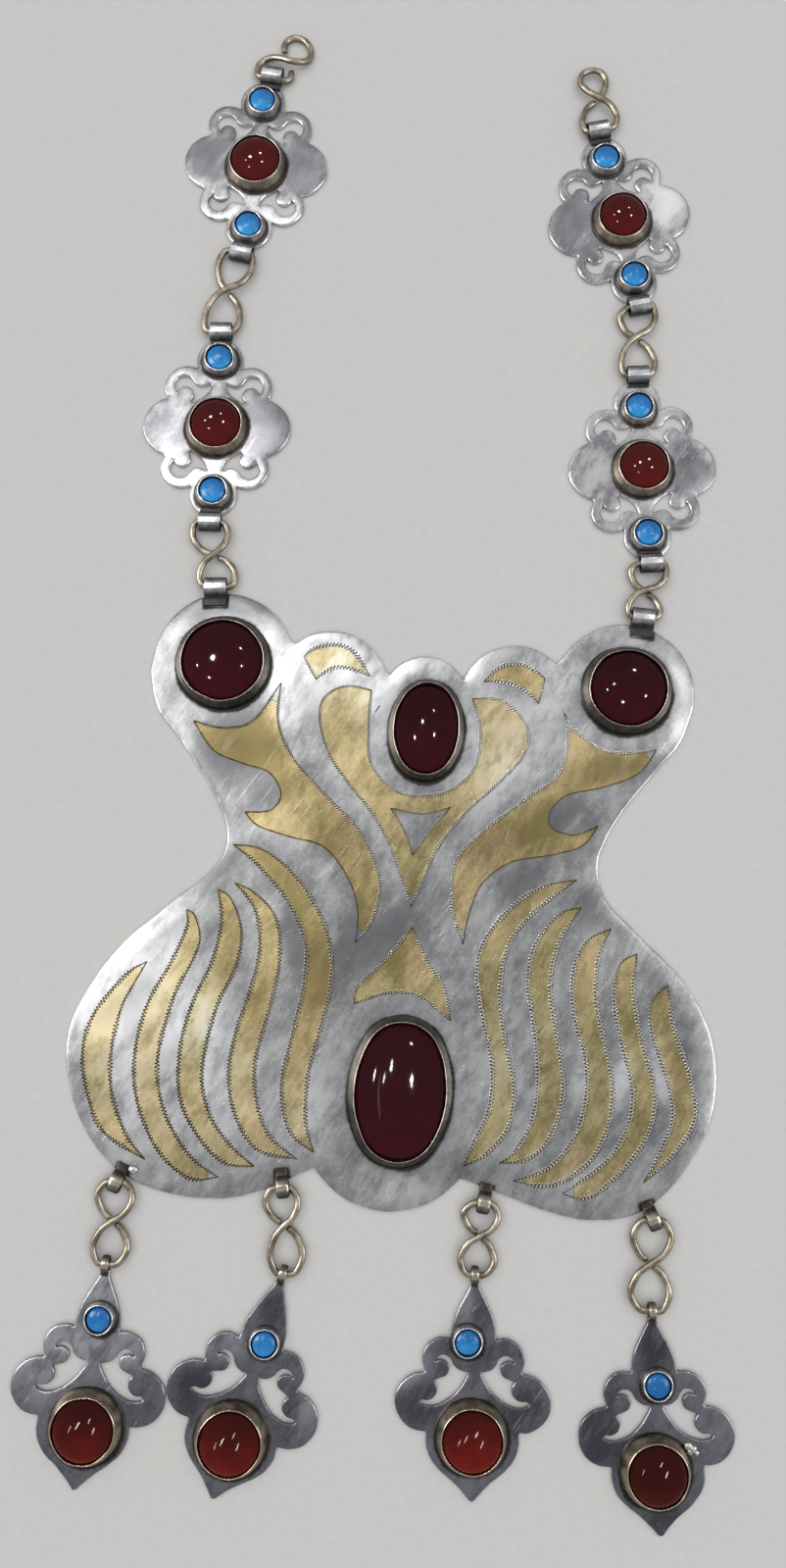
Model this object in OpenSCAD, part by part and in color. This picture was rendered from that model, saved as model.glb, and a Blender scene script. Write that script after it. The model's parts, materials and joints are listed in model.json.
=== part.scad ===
// Silver pectoral necklace, lying flat: a lobed medallion plate with four stones, two chains of
// two pierced rosettes each, four pierced drops below, and figure-8 wire links between them.
// Millimetres. The back of the plate is at z = 0, +Y points from the drops towards the chains.

/* [Metal] */
// Thickness of the silver sheet
sheet_t = 1.1; // [0.9:0.05:1.2]
// Thickness of the strip that the settings and bails are bent from
strip_t = 0.45; // [0.35:0.05:0.5]
// Diameter of the wire of the links
wire_d = 1.3; // [1.1:0.05:1.3]
// Gap left round each stone
stone_gap = 0.12; // [0.08:0.02:0.16]

/* [Medallion plate] */
// Radius of the two corner lobes
corner_r = 14; // [13.8:0.1:14.2]
// Radius of the two inner lobes of the upper edge
inner_lobe_r = 11.3; // [11.1:0.1:11.5]
// Radius of the middle lobe of the upper edge
middle_lobe_r = 8.6; // [8.5:0.1:8.7]
// Radius of the middle lobe of the lower edge
foot_lobe_r = 17; // [16.8:0.1:17.2]
// Height of the plate's settings above the sheet
plate_bezel_h = 2.8; // [2.4:0.1:3]
// Outer radius of the left corner setting at its foot
corner_left_r = 9.5; // [9.3:0.1:9.7]
// Outer radius of the right corner setting at its foot
corner_right_r = 9; // [8.8:0.1:9.2]
// Width of the upper oval setting at its foot
upper_oval_w = 15.2; // [14.8:0.1:15.4]
// Length of the upper oval setting at its foot
upper_oval_l = 20.6; // [20.2:0.1:20.8]
// Width of the large oval setting at its foot
large_oval_w = 20.4; // [20:0.1:20.6]
// Length of the large oval setting at its foot
large_oval_l = 28.6; // [28:0.1:28.8]
// How far the setting walls lean in from foot to rim
plate_bezel_lean = 1.1; // [0.8:0.1:1.2]
// How far the wall of the large oval setting leans in
large_oval_lean = 1.5; // [1.2:0.1:1.5]

/* [Rosettes] */
// Radius of the two side lobes
side_lobe_r = 6.3; // [6.2:0.1:6.4]
// Radius of the four scroll lobes
scroll_r = 4.4; // [4.3:0.1:4.5]
// Radius of the two end lobes that carry the turquoises
end_lobe_r = 4.8; // [4.7:0.1:4.9]
// How far the wall of a carnelian setting leans in
rosette_bezel_lean = 0.9; // [0.7:0.1:1]
// Height of the carnelian setting above the sheet
rosette_bezel_h = 2.3; // [2:0.1:2.6]
// Outer radius of a turquoise setting at its foot
bead_bezel_r = 3.7; // [3.6:0.1:3.8]
// How far the wall of a turquoise setting leans in
bead_bezel_lean = 0.6; // [0.4:0.1:0.7]
// Height of a turquoise setting above the sheet
bead_bezel_h = 1.8; // [1.5:0.1:2]

/* [Drops] */
// Radius of the shoulder lobes
shoulder_r = 3.8; // [3.7:0.1:3.9]
// Radius of the side lobes
wing_r = 5.15; // [5.1:0.05:5.2]
// Height of the carnelian setting above the sheet
drop_bezel_h = 3.4; // [3:0.1:3.7]
// How far the wall of a carnelian setting leans in
drop_bezel_lean = 0.9; // [0.7:0.1:1]
// Outer radius of the turquoise setting at its foot
seed_bezel_r = 3.05; // [3:0.05:3.1]
// How far the wall of a turquoise setting leans in
seed_bezel_lean = 0.3; // [0.2:0.05:0.35]

/* [Bails] */
// Width of the strip bails of the rosettes and of the plate's upper edge
bail_w = 4.4; // [4:0.1:4.6]
// Width of the strip loops on the plate's lower edge
loop_w = 2.5; // [2.2:0.1:2.7]
// Width of the narrow loop at the top of a drop
drop_loop_w = 1.4; // [1.2:0.1:1.6]

/* [Hidden] */
$fn = 64;

silver = [0.72, 0.72, 0.72];
brass = [0.78, 0.68, 0.5];
carnelian_red = [0.42, 0.1, 0.07];
dark_carnelian = [0.25, 0.05, 0.05];
turquoise_blue = [0.22, 0.52, 0.85];

// How deep a soldered foot reaches into the sheet, so that the metal is one solid
solder = 0.2;
wire_r = wire_d / 2;
wire_sides = 6;

// Bail: a strip bent round the wire, with a hole long enough for the wire to slide
bail_outer_r = 1.5;
bail_inner_r = bail_outer_r - strip_t;
bail_slide = 0.5;
bail_foot = 2.4;

// Rosettes: one row each. Places are from the rosette's centre. A bail is its x, its tilt and how
// much nearer to the centre it sits.
ROS_X = 0; ROS_Y = 1; ROS_TURN = 2; ROS_UPPER = 3; ROS_LOWER = 4; ROS_STONE = 5; ROS_STONE_R = 6;
ROS_BAIL_UP = 7; ROS_BAIL_LOW = 8;
rosettes = [
    // centre x, centre y, turn, upper turquoise y, lower turquoise y, carnelian place, setting's foot
    // radius, upper bail, lower bail
    [-43.2, 154.7, -1, 14.1, -14.6, [0, 0], 6.4, [1.4, -5, 0], [-0.85, -8, 0]],
    [-46.2, 95.6, 2.4, 14.5, -14.2, [0, 0], 6.4, [0, 0, 0], [-0.3, 0, 0]],
    [34.5, 147.6, 15.3, 13.7, -13.5, [0.4, -0.2], 6.1, [0, 0, 0], [-0.3, 0, 0.6]],
    [41.8, 92.8, 6.6, 13, -14.1, [0, 0], 6.2, [0.4, 0, 0.5], [0.2, 0, 0.4]]
];
rosette_bail_y = 20.6;
side_lobe_x = 8.9;
scroll_at = [6.7, 8.8];
end_lobe_y = 14.4;

// Drops: one row each
DROP_X = 0; DROP_Y = 1; DROP_TURN = 2; DROP_NECK = 3; DROP_BEAD = 4; DROP_STONE = 5; DROP_STONE_R = 6;
drops = [
    // top x, top y, turn, neck length added, turquoise place, carnelian place, carnelian radius
    [-51.85, -72.1, -2.75, 0.2, [0.3, -8.3], [0.6, -27.4], 5.85],
    [-18.9, -71.4, -13.4, 1.6, [0.6, -11.3], [0, -29.2], 5.85],
    [17.4, -69.1, 2.7, 0, [-1.2, -10.4], [-0.15, -27.2], 5.7],
    [50.8, -73.2, 5, -0.6, [0.4, -11.5], [-0.6, -26.6], 5.6]
];
drop_ring_y = 1.5;
drop_ring_slide = 0.15;
drop_cut_x = 0.25;

// Strip loops of the plate: x, y of the wire, turn
plate_bails = [[-43.2, 61.4, 4], [43.2, 61.2, -2]];
plate_loops = [[-51.4, -55.7, -18], [-19.9, -54.5, 10], [18.2, -54.6, -6], [50.2, -55.4, 24]];

// Where the wire of the closed eye at the right end turns back
eye_end_at = [26.9, 181.3];

// Plate settings: x, y
corner_left_at = [-40.3, 46];
corner_right_at = [40.7, 46.1];
upper_oval_at = [1.2, 35.1];
large_oval_at = [1, -35.1];
upper_oval = [upper_oval_w, upper_oval_l] / 2;
large_oval = [large_oval_w, large_oval_l] / 2;

// Points of an arc, and of a smooth curve through hand-placed points
function arc(c, r, from, to, n) =
    [for (i = [0:n]) let (a = from + (to - from) * i / n) c + r * [cos(a), sin(a)]];
function blend(a, b, c, d, t) =
    b + t * ((c - a) / 2 + t * ((2 * a - 5 * b + 4 * c - d) / 2 + t * (3 * b - a - 3 * c + d) / 2));
function curve(p, n) = let (last = len(p) - 1) [
    for (i = [0:last - 1], k = [0:n - 1])
        blend(p[max(i - 1, 0)], p[i], p[i + 1], p[min(i + 2, last)], k / n),
    p[last]
];
function ring(p, n) = let (m = len(p)) [
    for (i = [0:m - 1], k = [0:n - 1])
        blend(p[(i + m - 1) % m], p[i], p[(i + 1) % m], p[(i + 2) % m], k / n)
];
function flipped(p) = [for (q = p) [-q.x, q.y]];
function reversed(p) = [for (i = [len(p) - 1:-1:0]) p[i]];
function turned(p, a) = [p.x * cos(a) - p.y * sin(a), p.x * sin(a) + p.y * cos(a)];

// Plate outline, anticlockwise from the foot lobe
plate_right_side = [
    [13.4, -50.5], [20, -52.3], [29, -55.1], [38, -56.4], [47.5, -54.4], [55.5, -46.8],
    [60.8, -35], [60.4, -22], [54.5, -10.9], [46, -3], [38.6, 4.2], [36.7, 12],
    [40.6, 21], [47.2, 30.2], [51.9, 36.5], [54.1, 43.5]
];
plate_left_side = [
    [-14.3, -50.5], [-21, -54], [-29, -57], [-38.5, -57.5], [-48.5, -55.2], [-56.5, -49.2],
    [-62, -39.5], [-63.6, -29], [-60.5, -20], [-54.5, -10.6], [-46, -2.2], [-38.3, 5.2],
    [-36.3, 11.2], [-39.2, 18.7], [-46.9, 29.2], [-52.6, 36], [-54.7, 43.5]
];
plate_outline = concat(
    arc([-0.4, -40.6], foot_lobe_r, -143, -37, 16),
    curve(plate_right_side, 5),
    arc([40.3, 45.8], corner_r, 8, 150, 24), [[26.3, 50.5]],
    arc([18.6, 42.5], inner_lobe_r, 48, 158, 16),
    arc([0.5, 41.7], middle_lobe_r, 30, 150, 12),
    arc([-18.4, 42.9], inner_lobe_r, 21, 130, 16), [[-26.2, 51.2]],
    arc([-40.2, 46.4], corner_r, 24, 172, 26),
    reversed(curve(plate_left_side, 5))
);

// A cut-out of a rosette, upper right: a hook that curls round a knob beside the neck
rosette_cut = concat(
    [[1.5, 9.3]],
    arc([3.4, 10.8], 2, 226, 322, 6),
    arc([7.1, 9], 2.1, 162, -50, 12),
    arc([6.75, 7], 1.7, 8, 212, 12),
    [[5.6, 5.5]],
    arc([0, 0], 7.2, 47, 65, 4),
    [[2, 7.7], [1.6, 8.6]]
);
rosette_quarter = concat(
    arc([0, end_lobe_y], end_lobe_r, 70, -18, 8),
    arc(scroll_at, scroll_r, 118, -34, 12),
    arc([side_lobe_x, 0], side_lobe_r, 74, 0, 8)
);
rosette_half = concat(rosette_quarter, [for (q = reversed(rosette_quarter)) [q.x, -q.y]]);
rosette_outline = concat(rosette_half, flipped(reversed(rosette_half)));

// A cut-out of a drop, right side: a hook over two knobs, closed by the curve of the body
drop_cut = concat(
    [[1.2, -15.9], [2.4, -15.75], [3.4, -15.9]],
    arc([5.85, -14.85], 1.8, 190, 22, 10),
    arc([6.3, -15.45], 1.55, 50, 252, 10),
    arc([8.85, -19.1], 1.95, 128, 290, 10),
    [[10.3, -21.3]],
    curve([[9.9, -21.8], [8, -22.1], [5.6, -21.3], [3.4, -19.6], [1.9, -17.6], [1.2, -16.3]], 3)
);
drop_flame = [[0.75, 0.4], [0.9, -0.8], [1.6, -2.2], [2.6, -4.2], [3.5, -6.2], [4, -8], [4.15, -9.8]];
drop_body = [[8.5, -26.9], [8.5, -29], [7.6, -31.4], [5.8, -33.4], [3.6, -35.1], [1.7, -36.9], [0.3, -38.5]];
function drop_half(neck) = concat(
    [for (q = curve(drop_flame, 2)) [q.x, q.y < 0 ? q.y * (1 + neck / 10) : q.y]],
    [for (q = concat(
        arc([5.7, -13.75], shoulder_r, 112, -32, 12),
        arc([9.3, -21.35], wing_r, 92, -97, 16),
        curve(drop_body, 3)
    )) q - [0, neck]]
);
function drop_outline(neck) = concat(drop_half(neck), flipped(reversed(drop_half(neck))));

// Where a wire runs: through the bails of the rosettes, the plate and the drops
function at_row(row, p) = [row[0], row[1]] + turned(p, row[2]);
function side_bail(i, side) = rosettes[i][side > 0 ? ROS_BAIL_UP : ROS_BAIL_LOW];
function rosette_bail(i, side) = let (bail = side_bail(i, side))
    at_row(rosettes[i], [bail.x, side * (rosette_bail_y - bail.z)]);
function bail_turn(i, side) = rosettes[i][ROS_TURN] + side_bail(i, side).y;
function drop_ring(i) = at_row(drops[i], [0, drop_ring_y]);
function bail_at(row) = [row.x, row.y];

// A strip bail seen from its side, in y and z: the loop, and the foot that lies on the sheet
function loop_profile(r, slide) =
    concat(arc([slide, 0], r, -90, 90, 12), arc([-slide, 0], r, 90, 270, 12));

module strip_bail(w, slide, foot) {
    translate([w / 2, 0, bail_outer_r])
    rotate([90, 0, -90])
    linear_extrude(w)
    mirror([1, 0])
    difference() {
        union() {
            polygon(loop_profile(bail_outer_r, slide));
            polygon([
                [-slide - foot, sheet_t - bail_outer_r - solder],
                [-slide - foot, sheet_t - bail_outer_r + strip_t],
                [-slide - 1, bail_outer_r * 0.72],
                [-slide, bail_outer_r - 0.02],
                [-slide - 0.2, bail_inner_r + 0.1],
                [-slide - bail_inner_r - 0.1, sheet_t - bail_outer_r - solder]
            ]);
        }
        polygon(loop_profile(bail_inner_r, slide));
    }
}

// A round setting: a strip wall that leans in from its foot to its rim
module round_bezel(base_r, lean, h) {
    translate([0, 0, sheet_t - solder])
    rotate_extrude()
    polygon([
        [base_r - strip_t, 0], [base_r, 0],
        [base_r - lean, h + solder], [base_r - lean - strip_t, h + solder]
    ]);
}

// An oval of four arcs: end arcs of radius r, side arcs tangent to them
function end_r(size) = 0.78 * size.x;
function side_r(size) = let (r = end_r(size))
    (size.x * size.x + (size.y - r) * (size.y - r) - r * r) / (2 * (size.x - r));
function side_half_angle(size) = atan2(size.y - end_r(size), side_r(size) - size.x);
function oval(size, inset, n) = let (
    r = end_r(size), side = side_r(size), a = side_half_angle(size),
    right = arc([size.x - side, 0], side - inset, -a, a, n),
    top = arc([0, size.y - r], r - inset, a, 180 - a, n)
) concat(
    [for (i = [0:n - 1]) right[i]], [for (i = [0:n - 1]) top[i]],
    [for (i = [0:n - 1]) -right[i]], [for (i = [0:n - 1]) -top[i]]
);

// The oval setting leans in by narrow steps of strip
oval_steps = 6;
module oval_bezel(size, lean, h) {
    steps = oval_steps;
    translate([0, 0, sheet_t - solder])
    for (i = [0:steps - 1])
        translate([0, 0, i * (h + solder) / steps])
        linear_extrude((h + solder) / steps + (i < steps - 1 ? 0.01 : 0))
        difference() {
            polygon(oval(size, lean * i / (steps - 1), 10));
            polygon(oval(size, lean * i / (steps - 1) + strip_t, 10));
        }
}

// A round cabochon: a short drum under a dome
module cabochon(r, drum, dome) {
    sphere_r = (r * r + dome * dome) / (2 * dome);
    intersection() {
        cylinder(r = r, h = drum + dome);
        translate([0, 0, drum + dome - sphere_r]) sphere(sphere_r);
    }
}

// An oval cabochon: rings of the oval that close over the dome
module oval_cabochon(size, drum, dome) {
    n = 8;
    rings = 6;
    m = 4 * n;
    rows = concat(
        [for (q = oval(size, 0, n)) [q.x, q.y, 0]],
        [for (k = [0:rings - 1], q = oval(size, 0, n)) let (a = 90 * k / rings)
            [q.x * cos(a), q.y * cos(a), drum + dome * sin(a)]],
        [[0, 0, drum + dome]]
    );
    top = (rings + 1) * m;
    polyhedron(rows, concat(
        [[for (i = [0:m - 1]) i]],
        [for (k = [0:rings - 1], i = [0:m - 1]) let (j = (i + 1) % m)
            [k * m + i, (k + 1) * m + i, (k + 1) * m + j, k * m + j]],
        [for (i = [0:m - 1]) [rings * m + i, top, rings * m + (i + 1) % m]]
    ));
}

function unit(v) = v / norm(v);
function wire_ring(p, t) = let (across = unit(cross([0, 0, 1], t)), up = cross(unit(t), across))
    [for (k = [0:wire_sides - 1]) let (a = 360 * k / wire_sides)
        p + wire_r * (cos(a) * across + sin(a) * up)];

// Wire carried along a path of points, closed to a loop or with two flat ends
module wire(path, closed) {
    n = len(path);
    s = wire_sides;
    rings = [for (i = [0:n - 1])
        let (back = closed ? (i + n - 1) % n : max(i - 1, 0), ahead = closed ? (i + 1) % n : min(i + 1, n - 1))
        wire_ring(path[i], path[ahead] - path[back])];
    polyhedron(
        [for (r = rings, q = r) q],
        concat(
            [for (i = [0:(closed ? n : n - 1) - 1], k = [0:s - 1])
                let (j = (i + 1) % n, l = (k + 1) % s)
                [i * s + k, j * s + k, j * s + l, i * s + l]],
            closed ? [] : [[for (k = [0:s - 1]) k], [for (k = [s - 1:-1:0]) (n - 1) * s + k]]
        )
    );
}

// Heights of the wire's centre: in a bail, and where one strand crosses over the other
wire_in_bail_z = 1.5;
wire_low_z = 0.7;
wire_high_z = wire_low_z + wire_d + 0.12;

// One side of an eye from its end to the crossing: share of the half width, share of the length,
// how far the height has gone from the bail's to the crossing's, how far x follows the crossing's.
// The first two points lie in the bail, turned with it; flat is the share of the half width there.
eye_side = [[0, 1, 0, 0], [1, 0.96, 0, 0], [1, 0.62, 0.3, 0], [0.66, 0.24, 0.75, 1]];
in_bail = 2;
function eye_points(side_x, cross_x, length, cross_z, tilt, flat) =
    [for (k = [0:len(eye_side) - 1])
        let (e = eye_side[k], x = e.x * side_x * (k < in_bail ? flat : 1) + e[3] * (1 - e.x) * cross_x,
            p = [x, e.y * length], end = [0, length],
            q = k < in_bail ? end + turned(p - end, tilt) : p)
        [q.x, q.y, wire_in_bail_z + e.z * (cross_z - wire_in_bail_z)]];

// How far the wire runs straight in a wide bail and in a narrow loop
wide = 0.78;
narrow = 0.62;

// Links: one row each, seen along the line from the lower wire place to the upper one. A hand of 1
// has the upper strand run from lower left to upper right.
LINK_UPPER = 0; LINK_LOWER = 1; LINK_CROSS = 2; LINK_UPPER_X = 3; LINK_LOWER_X = 4;
LINK_UPPER_END = 5; LINK_LOWER_END = 6; LINK_HAND = 7;
LEFT_MID = 0; RIGHT_MID = 1; LEFT_LOW = 2; RIGHT_LOW = 3; EYE_END = 4; DROP_LINK = 5;
links = [
    // upper wire place, lower wire place, crossing x and share of length, left and right of the
    // upper eye, left and right of the lower eye, turn and flat of each end, hand
    [rosette_bail(0, -1), rosette_bail(1, 1), [-1, 0.51], [-4.2, 3], [-4.1, 3.1],
        [bail_turn(0, -1), wide], [bail_turn(1, 1), wide], 1],
    [rosette_bail(2, -1), rosette_bail(3, 1), [-0.4, 0.54], [-4, 3.3], [-3.5, 3.5],
        [bail_turn(2, -1), wide], [bail_turn(3, 1), wide], 1],
    [rosette_bail(1, -1), bail_at(plate_bails[0]), [0.3, 0.49], [-3.7, 3.5], [-3.1, 4.1],
        [bail_turn(1, -1), wide], [plate_bails[0].z, wide], 1],
    [rosette_bail(3, -1), bail_at(plate_bails[1]), [-0.4, 0.48], [-3.8, 3.3], [-3.3, 3.2],
        [bail_turn(3, -1), wide], [plate_bails[1].z, wide], 1],
    [eye_end_at, rosette_bail(2, 1), [0.6, 0.53], [-2.8, 2.9], [-3.1, 4.2],
        [8, narrow], [bail_turn(2, 1), wide], -1],
    [bail_at(plate_loops[0]), drop_ring(0), [0.2, 0.52], [-3.2, 3.5], [-2.8, 3.6],
        [0, narrow], [0, narrow], 1],
    [bail_at(plate_loops[1]), drop_ring(1), [0.3, 0.56], [-3.3, 2.9], [-2.4, 3.7],
        [4, narrow], [0, narrow], 1],
    [bail_at(plate_loops[2]), drop_ring(2), [-0.1, 0.54], [-3.5, 3], [-3.1, 3.3],
        [0, narrow], [0, narrow], 1],
    [bail_at(plate_loops[3]), drop_ring(3), [-0.5, 0.52], [-3.7, 3.4], [-4.1, 3.2],
        [2, narrow], [0, narrow], 1]
];

// The path of a figure-8 link: down one side of the upper eye, over the crossing, round the
// lower eye and back under the crossing
function eye_side_x(pair, side) = side > 0 ? pair[1] : pair[0];
function eight_path(row) = let (
    d = row[LINK_UPPER] - row[LINK_LOWER],
    lower = norm(d) * row[LINK_CROSS].y,
    upper = norm(d) - lower,
    turn = atan2(-d.x, d.y),
    hand = row[LINK_HAND],
    cross_x = row[LINK_CROSS].x,
    up = row[LINK_UPPER_END],
    low = row[LINK_LOWER_END],
    over_up = eye_points(eye_side_x(row[LINK_UPPER_X], hand), cross_x, upper, wire_high_z, up.x - turn, up.y),
    under_up = eye_points(eye_side_x(row[LINK_UPPER_X], -hand), cross_x, upper, wire_low_z, up.x - turn, up.y),
    over_down = eye_points(eye_side_x(row[LINK_LOWER_X], -hand), cross_x, -lower, wire_high_z, low.x - turn, low.y),
    under_down = eye_points(eye_side_x(row[LINK_LOWER_X], hand), cross_x, -lower, wire_low_z, low.x - turn, low.y),
    points = concat(
        over_up, [[cross_x, 0, wire_high_z]],
        reversed(over_down),
        [for (i = [1:3]) under_down[i]], [[cross_x, 0, wire_low_z]],
        [for (i = [3:-1:1]) under_up[i]]
    ),
    start = row[LINK_LOWER] + lower * unit(d)
) [for (p = ring(points, 4)) let (q = start + turned(p, turn)) [q.x, q.y, p.z]];

module link(i) {
    color(brass) wire(eight_path(links[i]), true);
}

module plate() {
    linear_extrude(sheet_t) polygon(plate_outline);
}

module medallion() {
    color(silver) {
        plate();
        translate(corner_left_at) round_bezel(corner_left_r, plate_bezel_lean, plate_bezel_h);
        translate(corner_right_at) round_bezel(corner_right_r, plate_bezel_lean, plate_bezel_h);
        translate(upper_oval_at) oval_bezel(upper_oval, plate_bezel_lean, plate_bezel_h);
        translate(large_oval_at) oval_bezel(large_oval, large_oval_lean, plate_bezel_h);
        for (row = plate_bails)
            translate(bail_at(row)) rotate(row.z) strip_bail(bail_w, bail_slide, bail_foot + 0.8);
        for (row = plate_loops)
            translate(bail_at(row)) rotate(180 + row.z) strip_bail(loop_w, bail_slide, bail_foot + 0.6);
    }
}

module rosette_bail_strip(bail, side) {
    translate([bail.x, side * (rosette_bail_y - bail.z)]) rotate(90 - 90 * side + bail.y)
        strip_bail(bail_w, bail_slide, bail_foot - bail.z);
}

module rosette(i) {
    row = rosettes[i];
    color(silver)
    translate([row[ROS_X], row[ROS_Y]]) rotate(row[ROS_TURN]) {
        linear_extrude(sheet_t)
        difference() {
            polygon(rosette_outline);
            for (mx = [0, 1], my = [0, 1])
                mirror([mx, 0]) mirror([0, my]) polygon(rosette_cut);
        }
        translate(row[ROS_STONE]) round_bezel(row[ROS_STONE_R], rosette_bezel_lean, rosette_bezel_h);
        translate([0, row[ROS_UPPER]]) round_bezel(bead_bezel_r, bead_bezel_lean, bead_bezel_h);
        translate([0, row[ROS_LOWER]]) round_bezel(bead_bezel_r, bead_bezel_lean, bead_bezel_h);
        rosette_bail_strip(row[ROS_BAIL_UP], 1);
        rosette_bail_strip(row[ROS_BAIL_LOW], -1);
    }
}

module drop(i) {
    row = drops[i];
    neck = row[DROP_NECK];
    color(silver)
    translate([row[DROP_X], row[DROP_Y]]) rotate(row[DROP_TURN]) {
        linear_extrude(sheet_t)
        difference() {
            polygon(drop_outline(neck));
            translate([drop_cut_x, -neck]) polygon(drop_cut);
            translate([drop_cut_x, -neck]) polygon(flipped(drop_cut));
        }
        translate(row[DROP_STONE])
            round_bezel(row[DROP_STONE_R] + stone_gap + strip_t + drop_bezel_lean / 2, drop_bezel_lean, drop_bezel_h);
        translate(row[DROP_BEAD]) round_bezel(seed_bezel_r, seed_bezel_lean, bead_bezel_h);
        translate([0, drop_ring_y]) strip_bail(drop_loop_w, drop_ring_slide, bail_foot - 0.3);
    }
}

module set_stone(at) {
    translate([at.x, at.y, sheet_t + stone_gap]) children();
}

module round_stone(at, r) {
    color(dark_carnelian) set_stone(at) cabochon(r - plate_bezel_lean - strip_t - stone_gap, 1.6, 2.4);
}

module oval_stone(at, size, lean) {
    inset = lean + strip_t + stone_gap;
    color(dark_carnelian) set_stone(at) oval_cabochon(size - [inset, inset], 1.6, 2.6);
}

module rosette_carnelian(i) {
    color(carnelian_red) set_stone(at_row(rosettes[i], rosettes[i][ROS_STONE]))
        cabochon(rosettes[i][ROS_STONE_R] - rosette_bezel_lean - strip_t - stone_gap, 1.4, 2.1);
}

module rosette_turquoise(i, column) {
    color(turquoise_blue) set_stone(at_row(rosettes[i], [0, rosettes[i][column]]))
        cabochon(bead_bezel_r - bead_bezel_lean - strip_t - stone_gap, 1, 1.3);
}

module drop_carnelian(i) {
    color(carnelian_red) set_stone(at_row(drops[i], drops[i][DROP_STONE]))
        cabochon(drops[i][DROP_STONE_R] - drop_bezel_lean / 2, 2.6, 2.2);
}

module drop_turquoise(i) {
    color(turquoise_blue) set_stone(at_row(drops[i], drops[i][DROP_BEAD]))
        cabochon(seed_bezel_r - seed_bezel_lean - strip_t - stone_gap, 1, 1.1);
}

// The open S-hook at the left end, from its free tip round to the closed lower eye
hook_at = [-39.8, 181];
hook_points = [
    [0.7, 0.4, 0.7], [0.3, 2, 0.7], [1, 3.5, 0.7], [2.7, 4.2, 0.7], [4.6, 3.6, 0.7], [5.9, 1.9, 0.7],
    [6.1, 0, 0.8], [5.3, -1.5, 1.2], [3.8, -2.3, 1.9], [1.9, -2.3, 2.1], [0, -1.6, 1.8], [-2, -1.2, 1.2],
    [-4, -1.8, 0.8], [-5.2, -3.4, 0.9], [-5.4, -5, 1.2], [-4.6, -5.9, 1.5], [-3, -6, 1.5], [-1.2, -5.9, 1.5],
    [0.6, -5.6, 1.4], [1.7, -4.6, 1], [2, -3.4, 0.72]
];

module hook_left_end() {
    color(brass) translate(hook_at) wire(curve(hook_points, 3), false);
}

medallion();
rosette(0);  // rosette_left_top
rosette(1);  // rosette_left_low
rosette(2);  // rosette_right_top
rosette(3);  // rosette_right_low
drop(0);  // drop_1
drop(1);  // drop_2
drop(2);  // drop_3
drop(3);  // drop_4
round_stone(corner_left_at, corner_left_r);  // stone_corner_left
round_stone(corner_right_at, corner_right_r);  // stone_corner_right
oval_stone(upper_oval_at, upper_oval, plate_bezel_lean);  // stone_upper_oval
oval_stone(large_oval_at, large_oval, large_oval_lean);  // stone_large_oval
rosette_carnelian(0);  // carnelian_left_top
rosette_carnelian(1);  // carnelian_left_low
rosette_carnelian(2);  // carnelian_right_top
rosette_carnelian(3);  // carnelian_right_low
rosette_turquoise(0, ROS_UPPER);  // turquoise_left_top_upper
rosette_turquoise(0, ROS_LOWER);  // turquoise_left_top_lower
rosette_turquoise(1, ROS_UPPER);  // turquoise_left_low_upper
rosette_turquoise(1, ROS_LOWER);  // turquoise_left_low_lower
rosette_turquoise(2, ROS_UPPER);  // turquoise_right_top_upper
rosette_turquoise(2, ROS_LOWER);  // turquoise_right_top_lower
rosette_turquoise(3, ROS_UPPER);  // turquoise_right_low_upper
rosette_turquoise(3, ROS_LOWER);  // turquoise_right_low_lower
drop_carnelian(0);  // carnelian_drop_1
drop_carnelian(1);  // carnelian_drop_2
drop_carnelian(2);  // carnelian_drop_3
drop_carnelian(3);  // carnelian_drop_4
drop_turquoise(0);  // turquoise_drop_1
drop_turquoise(1);  // turquoise_drop_2
drop_turquoise(2);  // turquoise_drop_3
drop_turquoise(3);  // turquoise_drop_4
hook_left_end();
link(EYE_END);  // eye_right_end
link(LEFT_MID);  // link_left_mid
link(RIGHT_MID);  // link_right_mid
link(LEFT_LOW);  // link_left_low
link(RIGHT_LOW);  // link_right_low
link(DROP_LINK);  // link_drop_1
link(DROP_LINK + 1);  // link_drop_2
link(DROP_LINK + 2);  // link_drop_3
link(DROP_LINK + 3);  // link_drop_4
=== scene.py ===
"""A silver medallion necklace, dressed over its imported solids.

The solids settle where every piece is and how big it is. This lesson gives them their looks: sheet
silver with worn edges, fire-gilt and engraved ornament, leaning stone settings, cabochons and wire.
All lengths in the tables are millimetres, in the same frame as the solids.
"""

# %% [markdown]
# The imported model is loaded first. It stays where it is: each new piece is made in the same frame and
# then stands for the solid of the same name, so nothing has to be fitted afterwards.

# %% Load the imported solids
import json
import math
from functools import partial

import bpy
import numpy as np
from mathutils import Matrix
from mathutils.geometry import delaunay_2d_cdt

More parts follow.
